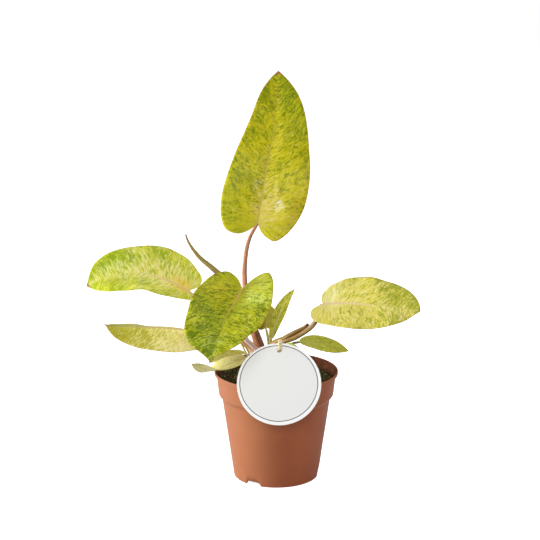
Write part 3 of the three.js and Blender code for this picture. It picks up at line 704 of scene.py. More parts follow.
def apart(vector):
    return list(all_outputs(node("ShaderNodeSeparateXYZ", {0: vector})).values())


def together(x, y, z):
    return node("ShaderNodeCombineXYZ", {0: x, 1: y, 2: z})


def object_place(tree):
    """The piece's own coordinates, in millimetres."""
    place = node("ShaderNodeTexCoord", None, "Object", tree)
    return node("ShaderNodeMapping", {"Vector": place, "Scale": (1 / MM,) * 3})


def new_tree(kind, name, inputs, outputs):
    """An empty node group with named sockets. Returns it, the values given to it and the sockets of its results."""
    tree = bpy.data.node_groups.new(name, kind)
    for way, sockets in (("INPUT", inputs), ("OUTPUT", outputs)):
        for title, socket_kind in sockets.items():
            tree.interface.new_socket(title, in_out=way, socket_type=f"NodeSocket{socket_kind}")
    given = {socket.name: Value(socket) for socket in tree.nodes.new("NodeGroupInput").outputs}
    return tree, given, tree.nodes.new("NodeGroupOutput").inputs


def shared(name, make, *details):
    """A node group that several pieces use, made on first use."""
    return bpy.data.node_groups.get(name) or make(name, *details)


def use_group(name, make, values):
    return all_outputs(node("ShaderNodeGroup", values, node_tree=shared(name, make)))


def rgba(colour, factor=1):
    return (*[c * factor for c in colour], 1)


def new_material(name, roughness, specular):
    """A material with its Principled shader, and the tree to build in."""
    material = bpy.data.materials.new(name)
    material.use_nodes = True
    shader = next(n for n in material.node_tree.nodes if n.type == "BSDF_PRINCIPLED")
    shader.inputs["Roughness"].default_value = roughness
    shader.inputs["Specular IOR Level"].default_value = specular
    return material, material.node_tree, shader


def finish_surface(shader, colour, height=None, bump_mm=0.3, strength=0.5, roughness=None):
    connect(colour, shader.inputs["Base Color"])
    if roughness is not None:
        connect(roughness, shader.inputs["Roughness"])
    if height is not None:
        bump = node("ShaderNodeBump", {"Height": height, "Distance": bump_mm * MM, "Strength": strength})
        connect(bump, shader.inputs["Normal"])


def colour_setting(name, description, default):
    return bpy.props.FloatVectorProperty(
        name=name, description=description, default=default, subtype="COLOR", size=3, min=0, max=1)


def length_setting(name, description, default):
    return bpy.props.FloatProperty(
        name=name, description=description, default=default, subtype="DISTANCE", unit="LENGTH")


def power_setting(name, description, default):
    return bpy.props.FloatProperty(
        name=name, description=description, default=default, subtype="POWER", unit="POWER", min=0)


class PotSettings(bpy.types.PropertyGroup):
    rim_radius: length_setting("Rim radius", "Outer radius of the pot's lip", (POT_BOX[1].x - POT_BOX[0].x) / 2)
    sides: bpy.props.IntProperty(name="Sides", description="Faces round the pot", default=192, min=24)
    plastic: colour_setting("Plastic", "Colour of the pot's plastic", (0.290, 0.090, 0.035))


class SoilSettings(bpy.types.PropertyGroup):
    peat: colour_setting("Peat", "Colour of the damp peat", (0.044, 0.032, 0.005))
    moss: colour_setting("Moss", "Colour of the moss on it", (0.056, 0.068, 0.018))
    crumb: length_setting("Crumb", "Radius of the largest crumbs of peat", 1.5 * MM)
    seed: bpy.props.IntProperty(name="Seed", description="Draws the places of crumbs and moss", default=7)


class LeafSettings(bpy.types.PropertyGroup):
    rows: bpy.props.IntProperty(
        name="Rows", description="Side veins that the mesh follows on each half", default=72, min=12)
    columns: bpy.props.IntProperty(
        name="Columns", description="Faces from the midrib to the margin", default=18, min=6)
    thickness: length_setting("Thickness", "Thickness of a grown blade", 0.7 * MM)
    keel: length_setting("Keel", "How far the midrib stands out below a blade at its joint", 1.1 * MM)
    rib: colour_setting("Midrib", "Colour of the midribs of grown leaves", (0.60, 0.36, 0.17))
    margin: colour_setting("Margin", "Colour of the thin line along the margins", (0.50, 0.24, 0.08))


class TagSettings(bpy.types.PropertyGroup):
    card: colour_setting("Card", "Colour of the card's face", (0.795, 0.795, 0.787))
    ring_radius: length_setting("Ring radius", "Radius of the thin printed ring", 36.4 * MM)
    ring_width: length_setting("Ring width", "Width of the printed ring's line", 0.75 * MM)
    twine: colour_setting("Twine", "Colour of the twine", (0.88, 0.77, 0.48))


class StudioSettings(bpy.types.PropertyGroup):
    camera_height: length_setting("Camera height", "Height of the camera above the floor", 0.573)
    camera_distance: length_setting("Camera distance", "Distance of the camera in front of the pot's axis", 1.5)
    camera_pitch: bpy.props.FloatProperty(
        name="Camera pitch", description="How far the camera looks down", default=math.radians(13.76),
        subtype="ANGLE", unit="ROTATION")
    ambient: bpy.props.FloatProperty(
        name="Ambient", description="Strength of the white surroundings as a light", default=0.25, min=0)
    floor_glow: bpy.props.FloatProperty(
        name="Floor glow", description="White that the camera sees added to the floor", default=0.9, min=0)
    key: power_setting("Key", "Power of the soft light at the left", 47.5)
    top: power_setting("Top", "Power of the soft light above and behind", 8.5)
    front: power_setting("Front", "Power of the soft light in front", 11)
    fill: power_setting("Fill", "Power of the soft light at the right", 5.0)


def leaf_mottle(name):
    """Node group: streaks and specks of two greens along the side veins, with paler streaks over them."""
    group, given, result = new_tree("ShaderNodeTree", name, {
        "Place": "Vector", "Dark": "Color", "Light": "Color", "Pale": "Color", "Dark Share": "Float",
        "Pale Share": "Float", "Streak": "Float", "Softness": "Float", "Seed": "Float",
    }, {"Color": "Color", "Height": "Float"})
    x, y, z = apart(given["Place"])
    seeded = z + given["Seed"]
    wander = grain(together(x, y, seeded), 0.8, 2.0)
    y = y + (wander - 0.5) * 0.3
    stretched = x / given["Streak"]

    def streaks(along, length, width, shift, detail=2.0):
        return grain(together(along * length, y * width, seeded + shift), 1.0, detail, 0.6, 0.2)

    fine = streaks(stretched, 2.4, 8.0, 0.0)
    speck = streaks(x, 6.0, 8.0, 7.0, 1.0)
    wide = streaks(stretched, 1.2, 3.4, 11.0)
    zone = streaks(x, 0.4, 0.8, 23.0)
    mixed = fine * 0.36 + speck * 0.26 + wide * 0.32 + zone * 0.24 - 0.09
    level = given["Dark Share"] * 0.22 + 0.39
    light = ramp(mixed, level - given["Softness"], level + given["Softness"])
    colour = blend(light, given["Dark"], given["Light"])
    cream = streaks(stretched, 1.8, 9.0, 37.0) * 0.7 + streaks(x, 0.6, 1.4, 51.0) * 0.3
    pale_level = 0.65 - given["Pale Share"] * 0.3
    colour = blend(ramp(cream, pale_level - 0.06, pale_level + 0.1), colour, given["Pale"])
    vein = ramp(maths("ABSOLUTE", maths("FRACT", y * 1.35) - 0.5), 0.0, 0.12, 1.0, 0.0)
    connect(blend(vein * 0.16, colour, given["Light"]), result["Color"])
    connect(fine * 0.35 - vein * 0.6, result["Height"])
    return group


def stalk_fibres(name):
    """Node group: long thin streaks down a stalk."""
    group, given, result = new_tree("ShaderNodeTree", name, {
        "Place": "Vector", "Skin": "Color", "Stripe": "Color", "Stripe Share": "Float", "Seed": "Float",
    }, {"Color": "Color", "Height": "Float"})
    length, turn, _ = apart(given["Place"])
    angle = turn * FULL_TURN
    place = together(maths("COSINE", angle) * 1.5, maths("SINE", angle) * 1.5, length * 0.22 + given["Seed"])
    stripes = grain(place, 2.2, 3.0, 0.6)
    level = 0.72 - given["Stripe Share"] * 0.45
    mask = ramp(stripes, level - 0.1, level + 0.1)
    connect(blend(mask, given["Skin"], given["Stripe"]), result["Color"])
    connect(stripes, result["Height"])
    return group


def blade_material(name, look, settings):
    """Mottled upper side, paler underside, midrib, margin and tip."""
    look = {**PLAIN_BLADE, "rib": settings.rib, "margin": settings.margin, **look}
    material, tree, shader = new_material(name, BLADE_ROUGHNESS, look["specular"])
    share_x, edge, along = apart(attribute(tree, "blade"))
    under = attribute(tree, "under", "Fac")
    vein = attribute(tree, "vein")
    right = maths("LESS_THAN", apart(vein)[1], LEFT_HALF_AT / 2)
    outward = share_x / (share_x + edge)

    def drifting(kind):
        """A share of colour that changes towards the tip, onto the right half and towards the midrib."""
        share = look[f"{kind}_share"]
        for place, change in zip((along - 0.45, right - 0.5, 0.5 - outward), look[f"{kind}_drift"]):
            share = share + place * change if change else share
        return share

    made = use_group("Leaf Mottle", leaf_mottle, {
        "Place": vein, "Dark": rgba(look["dark"]), "Light": rgba(look["light"]), "Pale": rgba(look["pale"]),
        "Dark Share": drifting("dark"), "Pale Share": drifting("pale"), "Streak": look["streak"],
        "Softness": look["softness"], "Seed": look["seed"]})
    colour = made["Color"]
    across = outward * (right * 2.0 - 1.0)
    ragged = (grain(vein, 0.9, 3.0) - 0.5) * 1.4
    # Some tints are painted highlights and sheen rather than the leaf's colour.
    for at, out, reach, spread, tint in look["zones"]:
        away = hypotenuse((along - at) / reach, (across - out) / spread)
        colour = blend(ramp(away + ragged, 0.25, 1.15, 1.0, 0.0), colour, rgba(tint), "MULTIPLY")
    colour = blend(under, colour, blend(0.55, colour, rgba(look["under"])))
    width = ramp(along, 0.0, 1.0, look["rib_width"], 0.25)
    fade = ramp(along, *look["rib_fade"], 1.0, look["rib_end"])
    rib = ramp(share_x, width, width + 0.45, 1.0, 0.0) * (fade * look["rib_strength"])
    colour = blend(rib, colour, rgba(look["rib"]))
    colour = blend(ramp(edge, 0.35, 0.85, 1.0, 0.0) * look["margin_strength"], colour, rgba(look["margin"]))
    colour = blend(ramp(along, *look["tip_from"]) * 0.9, colour, rgba(look["tip"]))
    speckle = grain(object_place(tree), 0.9, 3.0)
    gloss = ramp(speckle, 0.3, 0.7, BLADE_ROUGHNESS - 0.05, BLADE_ROUGHNESS + 0.08)
    finish_surface(shader, colour, made["Height"] + speckle * 0.25, 0.35, 0.35, gloss)
    return material


def stalk_material(name, look):
    """Skin that changes from foot to tip, with fibres and a darker side that is partly its own colour and partly
    painted shade.
    """
    look = {**PLAIN_STALK, **look}
    material, tree, shader = new_material(name, look["roughness"], look["specular"])
    place = attribute(tree, "stalk")
    _, turn, along = apart(place)
    skin = blend(ramp(along, *look["change"]), rgba(look["foot"]), rgba(look["top"]))
    # The darker side is partly the skin's own colour and partly painted shade.
    side = maths("COSINE", (turn - look["dark_turn"]) * FULL_TURN)
    skin = blend(ramp(side, look["dark_edge"], 1.0, 0.0, look["dark_strength"]), skin, rgba(look["dark"]))
    made = use_group("Stalk Fibres", stalk_fibres, {
        "Place": place, "Skin": skin, "Stripe": rgba(look["stripe"]), "Stripe Share": look["stripe_share"],
        "Seed": look["seed"]})
    colour = blend(ramp(along, 0.93, 1.0, 0.0, look["tip_strength"]), made["Color"], rgba(look["tip"]))
    finish_surface(shader, colour, made["Height"], 0.3, 0.4)
    return material


def pot_material(plastic):
    """Matt plastic, with painted light making it paler and yellower towards -x and painted shade making it redder
    towards +x, and dirt and painted shade darkening the inner wall.
    """
    material, tree, shader = new_material("Terracotta plastic", 0.46, 0.22)
    place = object_place(tree)
    cloud = grain(place, 0.035, 3.0)
    colour = blend(ramp(cloud, 0.3, 0.75, 0.0, 0.5), rgba(plastic), rgba(plastic, 0.86))
    x, y, z = apart(place)
    # Painted light and shade: paler and yellower towards -x, darker and redder towards +x.
    painted_light_and_shade = blend(ramp(x + cloud * 12.0, -22.0, 22.0), (1.10, 1.25, 1.34, 1), (0.97, 0.83, 0.79, 1))
    colour = blend(1.0, colour, painted_light_and_shade, "MULTIPLY")
    # Dirt and painted shade darken the inner wall above the peat.
    within = hypotenuse(x, y) - z * 0.13 - ramp(z, 102.8, 103.4, 0.0, 0.75)
    dirt_and_shade = ramp(within, 44.1, 44.5, 1.0, 0.0) * ramp(z, 84.0, 92.0)
    dirt_and_shade = dirt_and_shade * ramp(grain(place, 0.3, 4.0), 0.3, 0.6, 0.7, 1.0)
    colour = blend(dirt_and_shade * 0.92, colour, (0.062, 0.022, 0.007, 1))
    gloss = ramp(cloud, 0.3, 0.7, 0.46, 0.54) + dirt_and_shade * 0.5
    finish_surface(shader, colour, grain(place, 1.6, 3.0, 0.6), 0.08, 0.35, gloss)
    return material


def peat_material(name, base, dark):
    material, tree, shader = new_material(name, 0.85, 0.25)
    place = object_place(tree)
    colour = blend(ramp(grain(place, 0.5, 5.0, 0.65), 0.44, 0.64), rgba(base, 0.35 * dark), rgba(base, 3.6))
    green = ramp(grain(place, 0.16, 3.0), 0.5, 0.7, 0.0, 0.45)
    colour = blend(green, colour, (0.070, 0.072, 0.010, 1))
    finish_surface(shader, colour, grain(place, 2.2, 4.0, 0.7), 0.5, 0.8)
    return material


def moss_material(base):
    material, tree, shader = new_material("Moss", 0.7, 0.3)
    tone = grain(object_place(tree), 0.45, 4.0, 0.6)
    colour = blend(ramp(tone, 0.42, 0.60), rgba(base, 0.25), rgba(base, 2.0))
    finish_surface(shader, blend(ramp(tone, 0.60, 0.68), colour, (0.34, 0.37, 0.18, 1)))
    return material


def card_material(settings):
    """White board with a thin grey ring on its front, and a soft paper grain."""
    material, tree, shader = new_material("Matt card", 0.55, 0.3)
    x, y, z = apart(attribute(tree, "card"))
    out = hypotenuse(x - TAG["ring_middle"][0], y - TAG["ring_middle"][1])
    ring, half = settings.ring_radius / MM, settings.ring_width / MM / 2
    line = ramp(maths("ABSOLUTE", out - ring), half - 0.08, half + 0.08, 1.0, 0.0)
    front = ramp(z, 0.3, 0.39)
    fibre = grain(object_place(tree), 1.2, 4.0, 0.65)
    board = blend(ramp(out, ring - 0.1, ring + 0.1) * front, rgba(settings.card), (0.92, 0.92, 0.915, 1))
    board = blend(ramp(fibre, 0.35, 0.7, 0.0, 0.12), board, (0.70, 0.70, 0.68, 1))
    finish_surface(shader, blend(line * front, board, (0.045, 0.048, 0.056, 1)), fibre, 0.06, 0.25)
    return material


def twine_material(base):
    material, tree, shader = new_material("Cotton twine", 0.9, 0.15)
    shader.inputs["Sheen Weight"].default_value = 0.3
    place = object_place(tree)
    colour = blend(ramp(grain(place, 1.1, 3.0, 0.6), 0.35, 0.68), rgba(base, 0.62), rgba(base))
    finish_surface(shader, colour, grain(place, 5.0, 3.0), 0.2, 0.6)
    return material


def new_geometry_tree(name, inputs):
    """A Geometry Nodes tree that takes one geometry and the named inputs."""
    return new_tree("GeometryNodeTree", name, {"Geometry": "Geometry", **inputs}, {"Geometry": "Geometry"})


def finish_geometry(copies, given, result):
    """Makes real mesh of what a tree made, and gives it its material."""
    real = node("GeometryNodeRealizeInstances", {"Geometry": copies})
    connect(node("GeometryNodeSetMaterial", {"Geometry": real, "Material": given["Material"]}), result["Geometry"])


def scatter_tree(name, shape):
    """Geometry Nodes: many small copies of one shape over a surface."""
    tree, given, result = new_geometry_tree(name, {
        "Cover": "String", "Density": "Float", "Smallest": "Float", "Largest": "Float", "Lean": "Float",
        "Seed": "Int", "Material": "Material"})
    seed, lean = given["Seed"], given["Lean"]
    cover = node("GeometryNodeInputNamedAttribute", {"Name": given["Cover"]}, "Attribute", data_type="FLOAT")
    spots = node("GeometryNodeDistributePointsOnFaces", {
        "Mesh": given["Geometry"], "Density": given["Density"] * cover, "Seed": seed}, "Points",
        distribute_method="RANDOM")
    turn = node("FunctionNodeRandomValue", {
        "Min": together(lean * -1.0, lean * -1.0, 0.0), "Max": together(lean, lean, FULL_TURN), "Seed": seed},
        "Value", data_type="FLOAT_VECTOR")
    size = node("FunctionNodeRandomValue", {"Min": given["Smallest"], "Max": given["Largest"], "Seed": seed},
                "Value", data_type="FLOAT")
    copies = node("GeometryNodeInstanceOnPoints", {
        "Points": spots, "Instance": shape(tree), "Rotation": turn, "Scale": size})
    finish_geometry(copies, given, result)
    return tree


def crumb_shape(tree):
    """A small uneven lump of radius one."""
    ball = node("GeometryNodeMeshIcoSphere", {"Radius": 1.0, "Subdivisions": 2}, tree=tree)
    place = node("GeometryNodeInputPosition", tree=tree)
    lump = node("ShaderNodeTexNoise", {"Vector": place, "Scale": 1.3, "Detail": 2.0}, "Fac")
    lumpy = scaled(place, ramp(lump, 0.25, 0.75, 0.45, 1.25))
    return node("GeometryNodeSetPosition", {"Geometry": ball, "Position": lumpy})


def strand_shape(tree):
    """A thin bent strand of length one, standing up."""
    bow = node("GeometryNodeCurveQuadraticBezier", {
        "Resolution": 4, "Start": (0, 0, -0.1), "Middle": (0.1, 0, 0.5), "End": (0.45, 0.1, 0.9)}, tree=tree)
    thin = 1.15 - node("GeometryNodeSplineParameter", None, "Factor", tree)
    sized = node("GeometryNodeSetCurveRadius", {"Curve": bow, "Radius": thin})
    ring = node("GeometryNodeCurvePrimitiveCircle", {"Resolution": 3, "Radius": 0.085}, tree=tree)
    strand = node("GeometryNodeCurveToMesh", {"Curve": sized, "Profile Curve": ring, "Fill Caps": True})
    taper = strand.socket.node.inputs.get("Scale")
    if taper:
        connect(thin, taper)
    return strand


SCATTER_SHAPES = {"Crumbs": crumb_shape, "Strands": strand_shape}


def twine_tree(name):
    """Geometry Nodes: two strands side by side along a loop, each of two plies twisted together."""
    tree, given, result = new_geometry_tree(name, {
        "Strand Gap": "Float", "Ply Radius": "Float", "Pitch": "Float", "Material": "Material"})
    curve = node("GeometryNodeMeshToCurve", {"Mesh": given["Geometry"]})
    four = node("GeometryNodeDuplicateElements", {"Geometry": curve, "Amount": 4}, domain="SPLINE")
    number = all_outputs(four)["Duplicate Index"]
    strand = maths("MODULO", number, 2.0)
    ply = maths("FLOOR", number / 2.0)
    walked = node("GeometryNodeSplineParameter", None, "Length", tree)
    forward = node("GeometryNodeInputTangent", tree=tree)
    across = (1.0, 0.0, 0.0)
    up = vector_maths("NORMALIZE", vector_maths("CROSS_PRODUCT", forward, across))
    angle = (walked / given["Pitch"] + ply * 0.5 + strand * 0.27) * FULL_TURN
    wobble = node("ShaderNodeTexNoise", {"Scale": 260.0, "Detail": 1.0}, "Fac", tree)
    reach = given["Ply Radius"] * ramp(wobble, 0.3, 0.7, 0.75, 1.1)
    aside = maths("SINE", angle) * reach
    offset = vector_maths("ADD", scaled(across, aside), scaled(up, maths("COSINE", angle) * reach))
    offset = vector_maths("ADD", offset, scaled(across, (strand - 0.5) * given["Strand Gap"]))
    placed = node("GeometryNodeSetPosition", {"Geometry": four, "Offset": offset})
    ring = node("GeometryNodeCurvePrimitiveCircle", {"Resolution": 8, "Radius": given["Ply Radius"]})
    finish_geometry(node("GeometryNodeCurveToMesh", {"Curve": placed, "Profile Curve": ring}), given, result)
    return tree


def run_tree(carrier, tree, values):
    """The plain mesh that a tree makes from a carrier's mesh."""
    modifier = carrier.modifiers.new(tree.name, "NODES")
    modifier.node_group = tree
    for item in tree.interface.items_tree:
        if item.in_out == "INPUT" and item.name in values:
            modifier[item.identifier] = values[item.name]
    mesh = plain_mesh(carrier)
    carrier.modifiers.remove(modifier)
    if not mesh.polygons:
        raise RuntimeError(f"{tree.name} made nothing")
    return mesh


def scatter(carrier, name, shape, slot, **values):
    """A piece of small copies of a shape over another piece."""
    tree = shared(shape, scatter_tree, SCATTER_SHAPES[shape])
    return put_piece(name, run_tree(carrier, tree, values))


def grown_blade(name, leaf, outline, material, rows, columns, thickness, keel, seed):
    """A closed blade piece that replaces its node."""
    surface, length = leaf_surface(leaf)
    halves = [half_outline(outline[side], rows) for side in ("left", "right")]
    reach = (np.arange(columns + 1) / columns) ** COLUMN_CROWDING
    columns_at = np.concatenate([-reach[:0:-1], reach])
    start = (vein_start(halves[0][:, 1]) + vein_start(halves[1][:, 1]))[:, None] / 2
    side = (columns_at > 0).astype(int)
    edge_x = np.maximum(np.stack([halves[s][:, 0] * leaf["half_width"][s] for s in (0, 1)], -1)[:, side], 0)
    edge_y = np.stack([half[:, 1] for half in halves], -1)[:, side]
    share = start + (edge_y - start) * np.abs(columns_at) ** ROW_BEND
    across = columns_at * edge_x
    middle, normal = surface(across, share)
    width = np.linalg.norm(np.diff(middle, axis=1), axis=-1)
    walked = np.concatenate([np.zeros((rows + 1, 1)), np.cumsum(width, axis=1)], axis=1)
    along_vein = walked - walked[:, columns:columns + 1]
    edge = np.where(columns_at < 0, walked, walked[:, -1:] - walked)
    swell = rough(middle, SWELL_SIZE, seed) * np.clip(np.abs(across) / 10, 0, 1) * SWELL_HEIGHT
    top = middle + normal * swell[..., None]
    thick = thickness * (0.4 + 0.6 * np.clip(edge / THIN_EDGE, 0, 1))
    depth = thick + keel * (1 - 0.8 * np.clip(share, 0, 1)) * np.exp(-(across / KEEL_WIDTH) ** 2) * np.clip(edge, 0, 1)
    bottom = top - normal * depth[..., None]
    count = len(columns_at)
    under = (rows + 1) * count
    upper = grid_faces(rows + 1, count)
    faces = [*upper, *(upper[:, ::-1] + under)]
    for a in range(0, rows * count, count):
        b, c, d = a + count, a + count - 1, a + 2 * count - 1
        faces += [(a, b, b + under, a + under), (d, c, c + under, d + under)]
    piece = new_piece(name, np.concatenate([top, bottom]).reshape(-1, 3), faces, material,
                      [f"blade_{name.removesuffix('_leaf')}"])
    row_place = np.repeat(np.linspace(0, 1, rows + 1)[:, None] * length * VEIN_SPREAD / 10, count, axis=1)
    row_place = row_place + np.where(columns_at < 0, LEFT_HALF_AT, 0.0)
    vein = np.stack([along_vein / 10, row_place, np.zeros_like(row_place)], -1)
    mark(piece, "vein", np.concatenate([vein, vein + (0, 0, UNDERSIDE_AT)]))
    mark(piece, "blade", np.tile(np.stack([np.abs(across), edge, share], -1), (2, 1, 1)))
    mark(piece, "under", np.repeat([0, 1], under))
    return merged(piece)


def stalk_piece(name, routes, look, nodes, sides=14):
    """One or more tubes, each a path, its radii and the shape of its section, joined into one stalk piece."""
    points, faces, marks, start = [], [], [], 0
    for path, radii, shape in routes:
        tube_points, tube_faces, tube_marks = tube(path, radii, STALK_STEPS * len(path), sides, shape)
        faces += [[v + start for v in face] for face in tube_faces]
        points.append(tube_points)
        marks.append(tube_marks)
        start += len(tube_points)
    piece = new_piece(name, np.concatenate(points), faces, stalk_material(f"{name} skin", look), nodes)
    mark(piece, "stalk", np.concatenate(marks))
    return piece


def stalk_route(leaf, radii, thickness):
    """The stalk's path, carried on to the underside of the joint."""
    joint = np.array(leaf["midrib"][0], float)
    up = np.array(leaf["face"], float)
    up /= np.linalg.norm(up)
    return [*leaf["stalk"], list(joint - up * (thickness + 0.55 * radii[-1]))]


def ripple(depth, seed):
    """A gently uneven round section for a stalk."""
    def shape(t, turns):
        angle = 2 * np.pi * turns
        return 1 + depth * np.sin(2 * angle + seed + 3 * t) + 0.5 * depth * np.sin(5 * angle + 9 * t + seed)
    return shape


def make_leaves(leaves, outlines, radii, settings, coarser=1, thinner=1, flatter=1):
    """A blade and a stalk for each leaf in a set. Its mesh and its body can differ from a grown leaf's."""
    thickness, keel = settings.thickness / MM * thinner, settings.keel / MM * flatter
    rows, columns = settings.rows // coarser, settings.columns // coarser
    for name, leaf in leaves.items():
        look = BLADE_LOOKS[name]
        material = blade_material(f"{name} blade", look, settings)
        grown_blade(f"{name}_leaf", leaf, outlines[name], material, rows, columns, thickness, keel, look["seed"])
        stalk_radii = leaf.get("stalk_radii", radii)
        routes = [(stalk_route(leaf, stalk_radii, thickness), stalk_radii, ripple(0.05, STALK_LOOKS[name]["seed"]))]
        if "sheath" in leaf:
            routes.append((*leaf["sheath"], ripple(0.14, 1.0)))
        stalk_piece(f"{name}_stalk", routes, STALK_LOOKS[name], [f"petiole_{name}"])


def pot_profile(rim_radius):
    """The wall's outline as [radius, height]: from the middle of the foot to the lip, and on to the floor inside."""
    bevel, wall, floor, top, disc, foot, channel = (POT[name] for name in (
        "bevel", "wall", "floor", "height", "disc_radius", "foot_radius", "channel_z"))
    body, neck, collar = (
        (POT[f"{name}_radius"], POT[f"{name}_z"]) for name in ("body_top", "collar_foot", "collar_top"))
    slope, lip_foot, ring_inside = POT["channel_slope"], top - POT["lip_depth"], foot - POT["foot_ring"]
    low = foot + (body[0] - foot) * channel / body[1]
    outside = [
        [0, 0], [disc, 0], [disc + slope, channel], [ring_inside, channel], [ring_inside, 0], [foot, 0], body, neck,
        collar, [collar[0] + bevel / 2, lip_foot], [rim_radius, lip_foot], [rim_radius, top],
        [POT["lip_top_inside"], top],
    ]
    inside = [
        [collar[0] - wall, collar[1]], [neck[0] - wall, neck[1] + bevel / 2], [body[0] - wall, body[1] + bevel / 2],
        [low + bevel / 3 - wall, channel + floor], [disc - bevel + slope, channel + floor], [disc - bevel, floor],
        [0, floor],
    ]
    return outside, inside


def rounded(profile, radius):
    """Rounds a profile's corners, and adds points beside them so that flat walls shade flat."""
    points = np.array(profile, float)
    line = [points[0]]
    for before, corner, after in zip(points[:-2], points[1:-1], points[2:]):
        back, ahead = before - corner, after - corner
        spans = np.linalg.norm(back), np.linalg.norm(ahead)
        reach = min(radius, 0.4 * min(spans))
        first, last = corner + back / spans[0] * reach, corner + ahead / spans[1] * reach
        line.append(first + back / spans[0] * min(0.5, 0.2 * spans[0]))
        for w in np.linspace(0, 1, 5):
            line.append((1 - w) ** 2 * first + 2 * w * (1 - w) * corner + w * w * last)
        line.append(last + ahead / spans[1] * min(0.5, 0.2 * spans[1]))
    line.append(points[-1])
    dense = [line[0]]
    for a, b in zip(line[:-1], line[1:]):
        parts = max(1, int(np.linalg.norm(b - a) // 9))
        dense += [a + (b - a) * (k + 1) / parts for k in range(parts)]
    return np.array(dense)


def drill():
    """The drain holes as one object to cut with."""
    shape = bmesh.new()
    radius = DRAIN["radius"] * MM
    for i in range(DRAIN["count"]):
        angle = 2 * math.pi * i / DRAIN["count"]
        made = bmesh.ops.create_cone(shape, cap_ends=True, segments=32, radius1=radius, radius2=radius,
                                     depth=4 * POT["floor"] * MM)
        centre = Vector((math.cos(angle) * DRAIN["ring"], math.sin(angle) * DRAIN["ring"], POT["channel_z"])) * MM
        bmesh.ops.translate(shape, verts=made["verts"], vec=centre)
    mesh = bpy.data.meshes.new("drain_drill")
    shape.to_mesh(mesh)
    shape.free()
    return add_object("drain_drill", mesh)


def add_object(name, data):
    """An object that isn't a piece, in the scene."""
    thing = bpy.data.objects.new(name, data)
    bpy.context.scene.collection.objects.link(thing)
    return thing


class PHILODENDRON_OT_pot(bpy.types.Operator):
    """Turn the thin plastic pot, with its lip, collar, foot notches and drain holes"""

    bl_idname = "philodendron.pot"
    bl_label = "Nursery pot"

    def execute(self, context):
        settings = context.scene.philodendron_pot
        outside, inside = pot_profile(settings.rim_radius / MM)
        profile = rounded(outside + inside, POT["corner"])
        sides = settings.sides
        turn = around(sides)
        radius, height = profile[:, :1], np.repeat(profile[:, 1:], sides, axis=1)
        in_ring = radius > POT["foot_radius"] - POT["foot_ring"] - 0.5
        for i in range(NOTCH["count"]):
            centre = math.radians(NOTCH["angle"]) + 2 * math.pi * i / NOTCH["count"]
            offset = np.abs((turn - centre + np.pi) % (2 * np.pi) - np.pi) * POT["foot_radius"]
            arch = NOTCH["height"] * np.sqrt(np.clip(1 - (offset / (NOTCH["width"] / 2)) ** 4, 0, 1))
            height = np.where(in_ring, np.maximum(height, arch), height)
        points = np.stack([radius * np.cos(turn), radius * np.sin(turn), height], -1).reshape(-1, 3)
        faces = grid_faces(len(profile), sides, closed=True)
        piece = merged(new_piece("nursery_pot", points, faces, pot_material(settings.plastic), ["pot"]))
        cutter = drill()
        cut = piece.modifiers.new("Drain holes", "BOOLEAN")
        cut.object, cut.solver, cut.operation = cutter, "EXACT", "DIFFERENCE"
        mesh = plain_mesh(piece)
        piece.modifiers.clear()
        piece.data = mesh
        bpy.data.objects.remove(cutter)
        return {"FINISHED"}


def soil_height(x, y, edge_radius):
    """Height of the soil's top at a place, in millimetres."""
    along_x, along_y, drift = SOIL["lump_length"]
    out = np.hypot(x, y)
    inward = np.minimum(1, np.maximum(0, edge_radius - out))
    lumps = SOIL["lump"] * np.sin(x / along_x + 1) * np.cos(y / along_y + x / drift)
    return (SOIL["edge_z"] + SOIL["mound"] * (1 - (out / edge_radius) ** 2)
            - SOIL["tilt"] * x / edge_radius + inward * lumps)


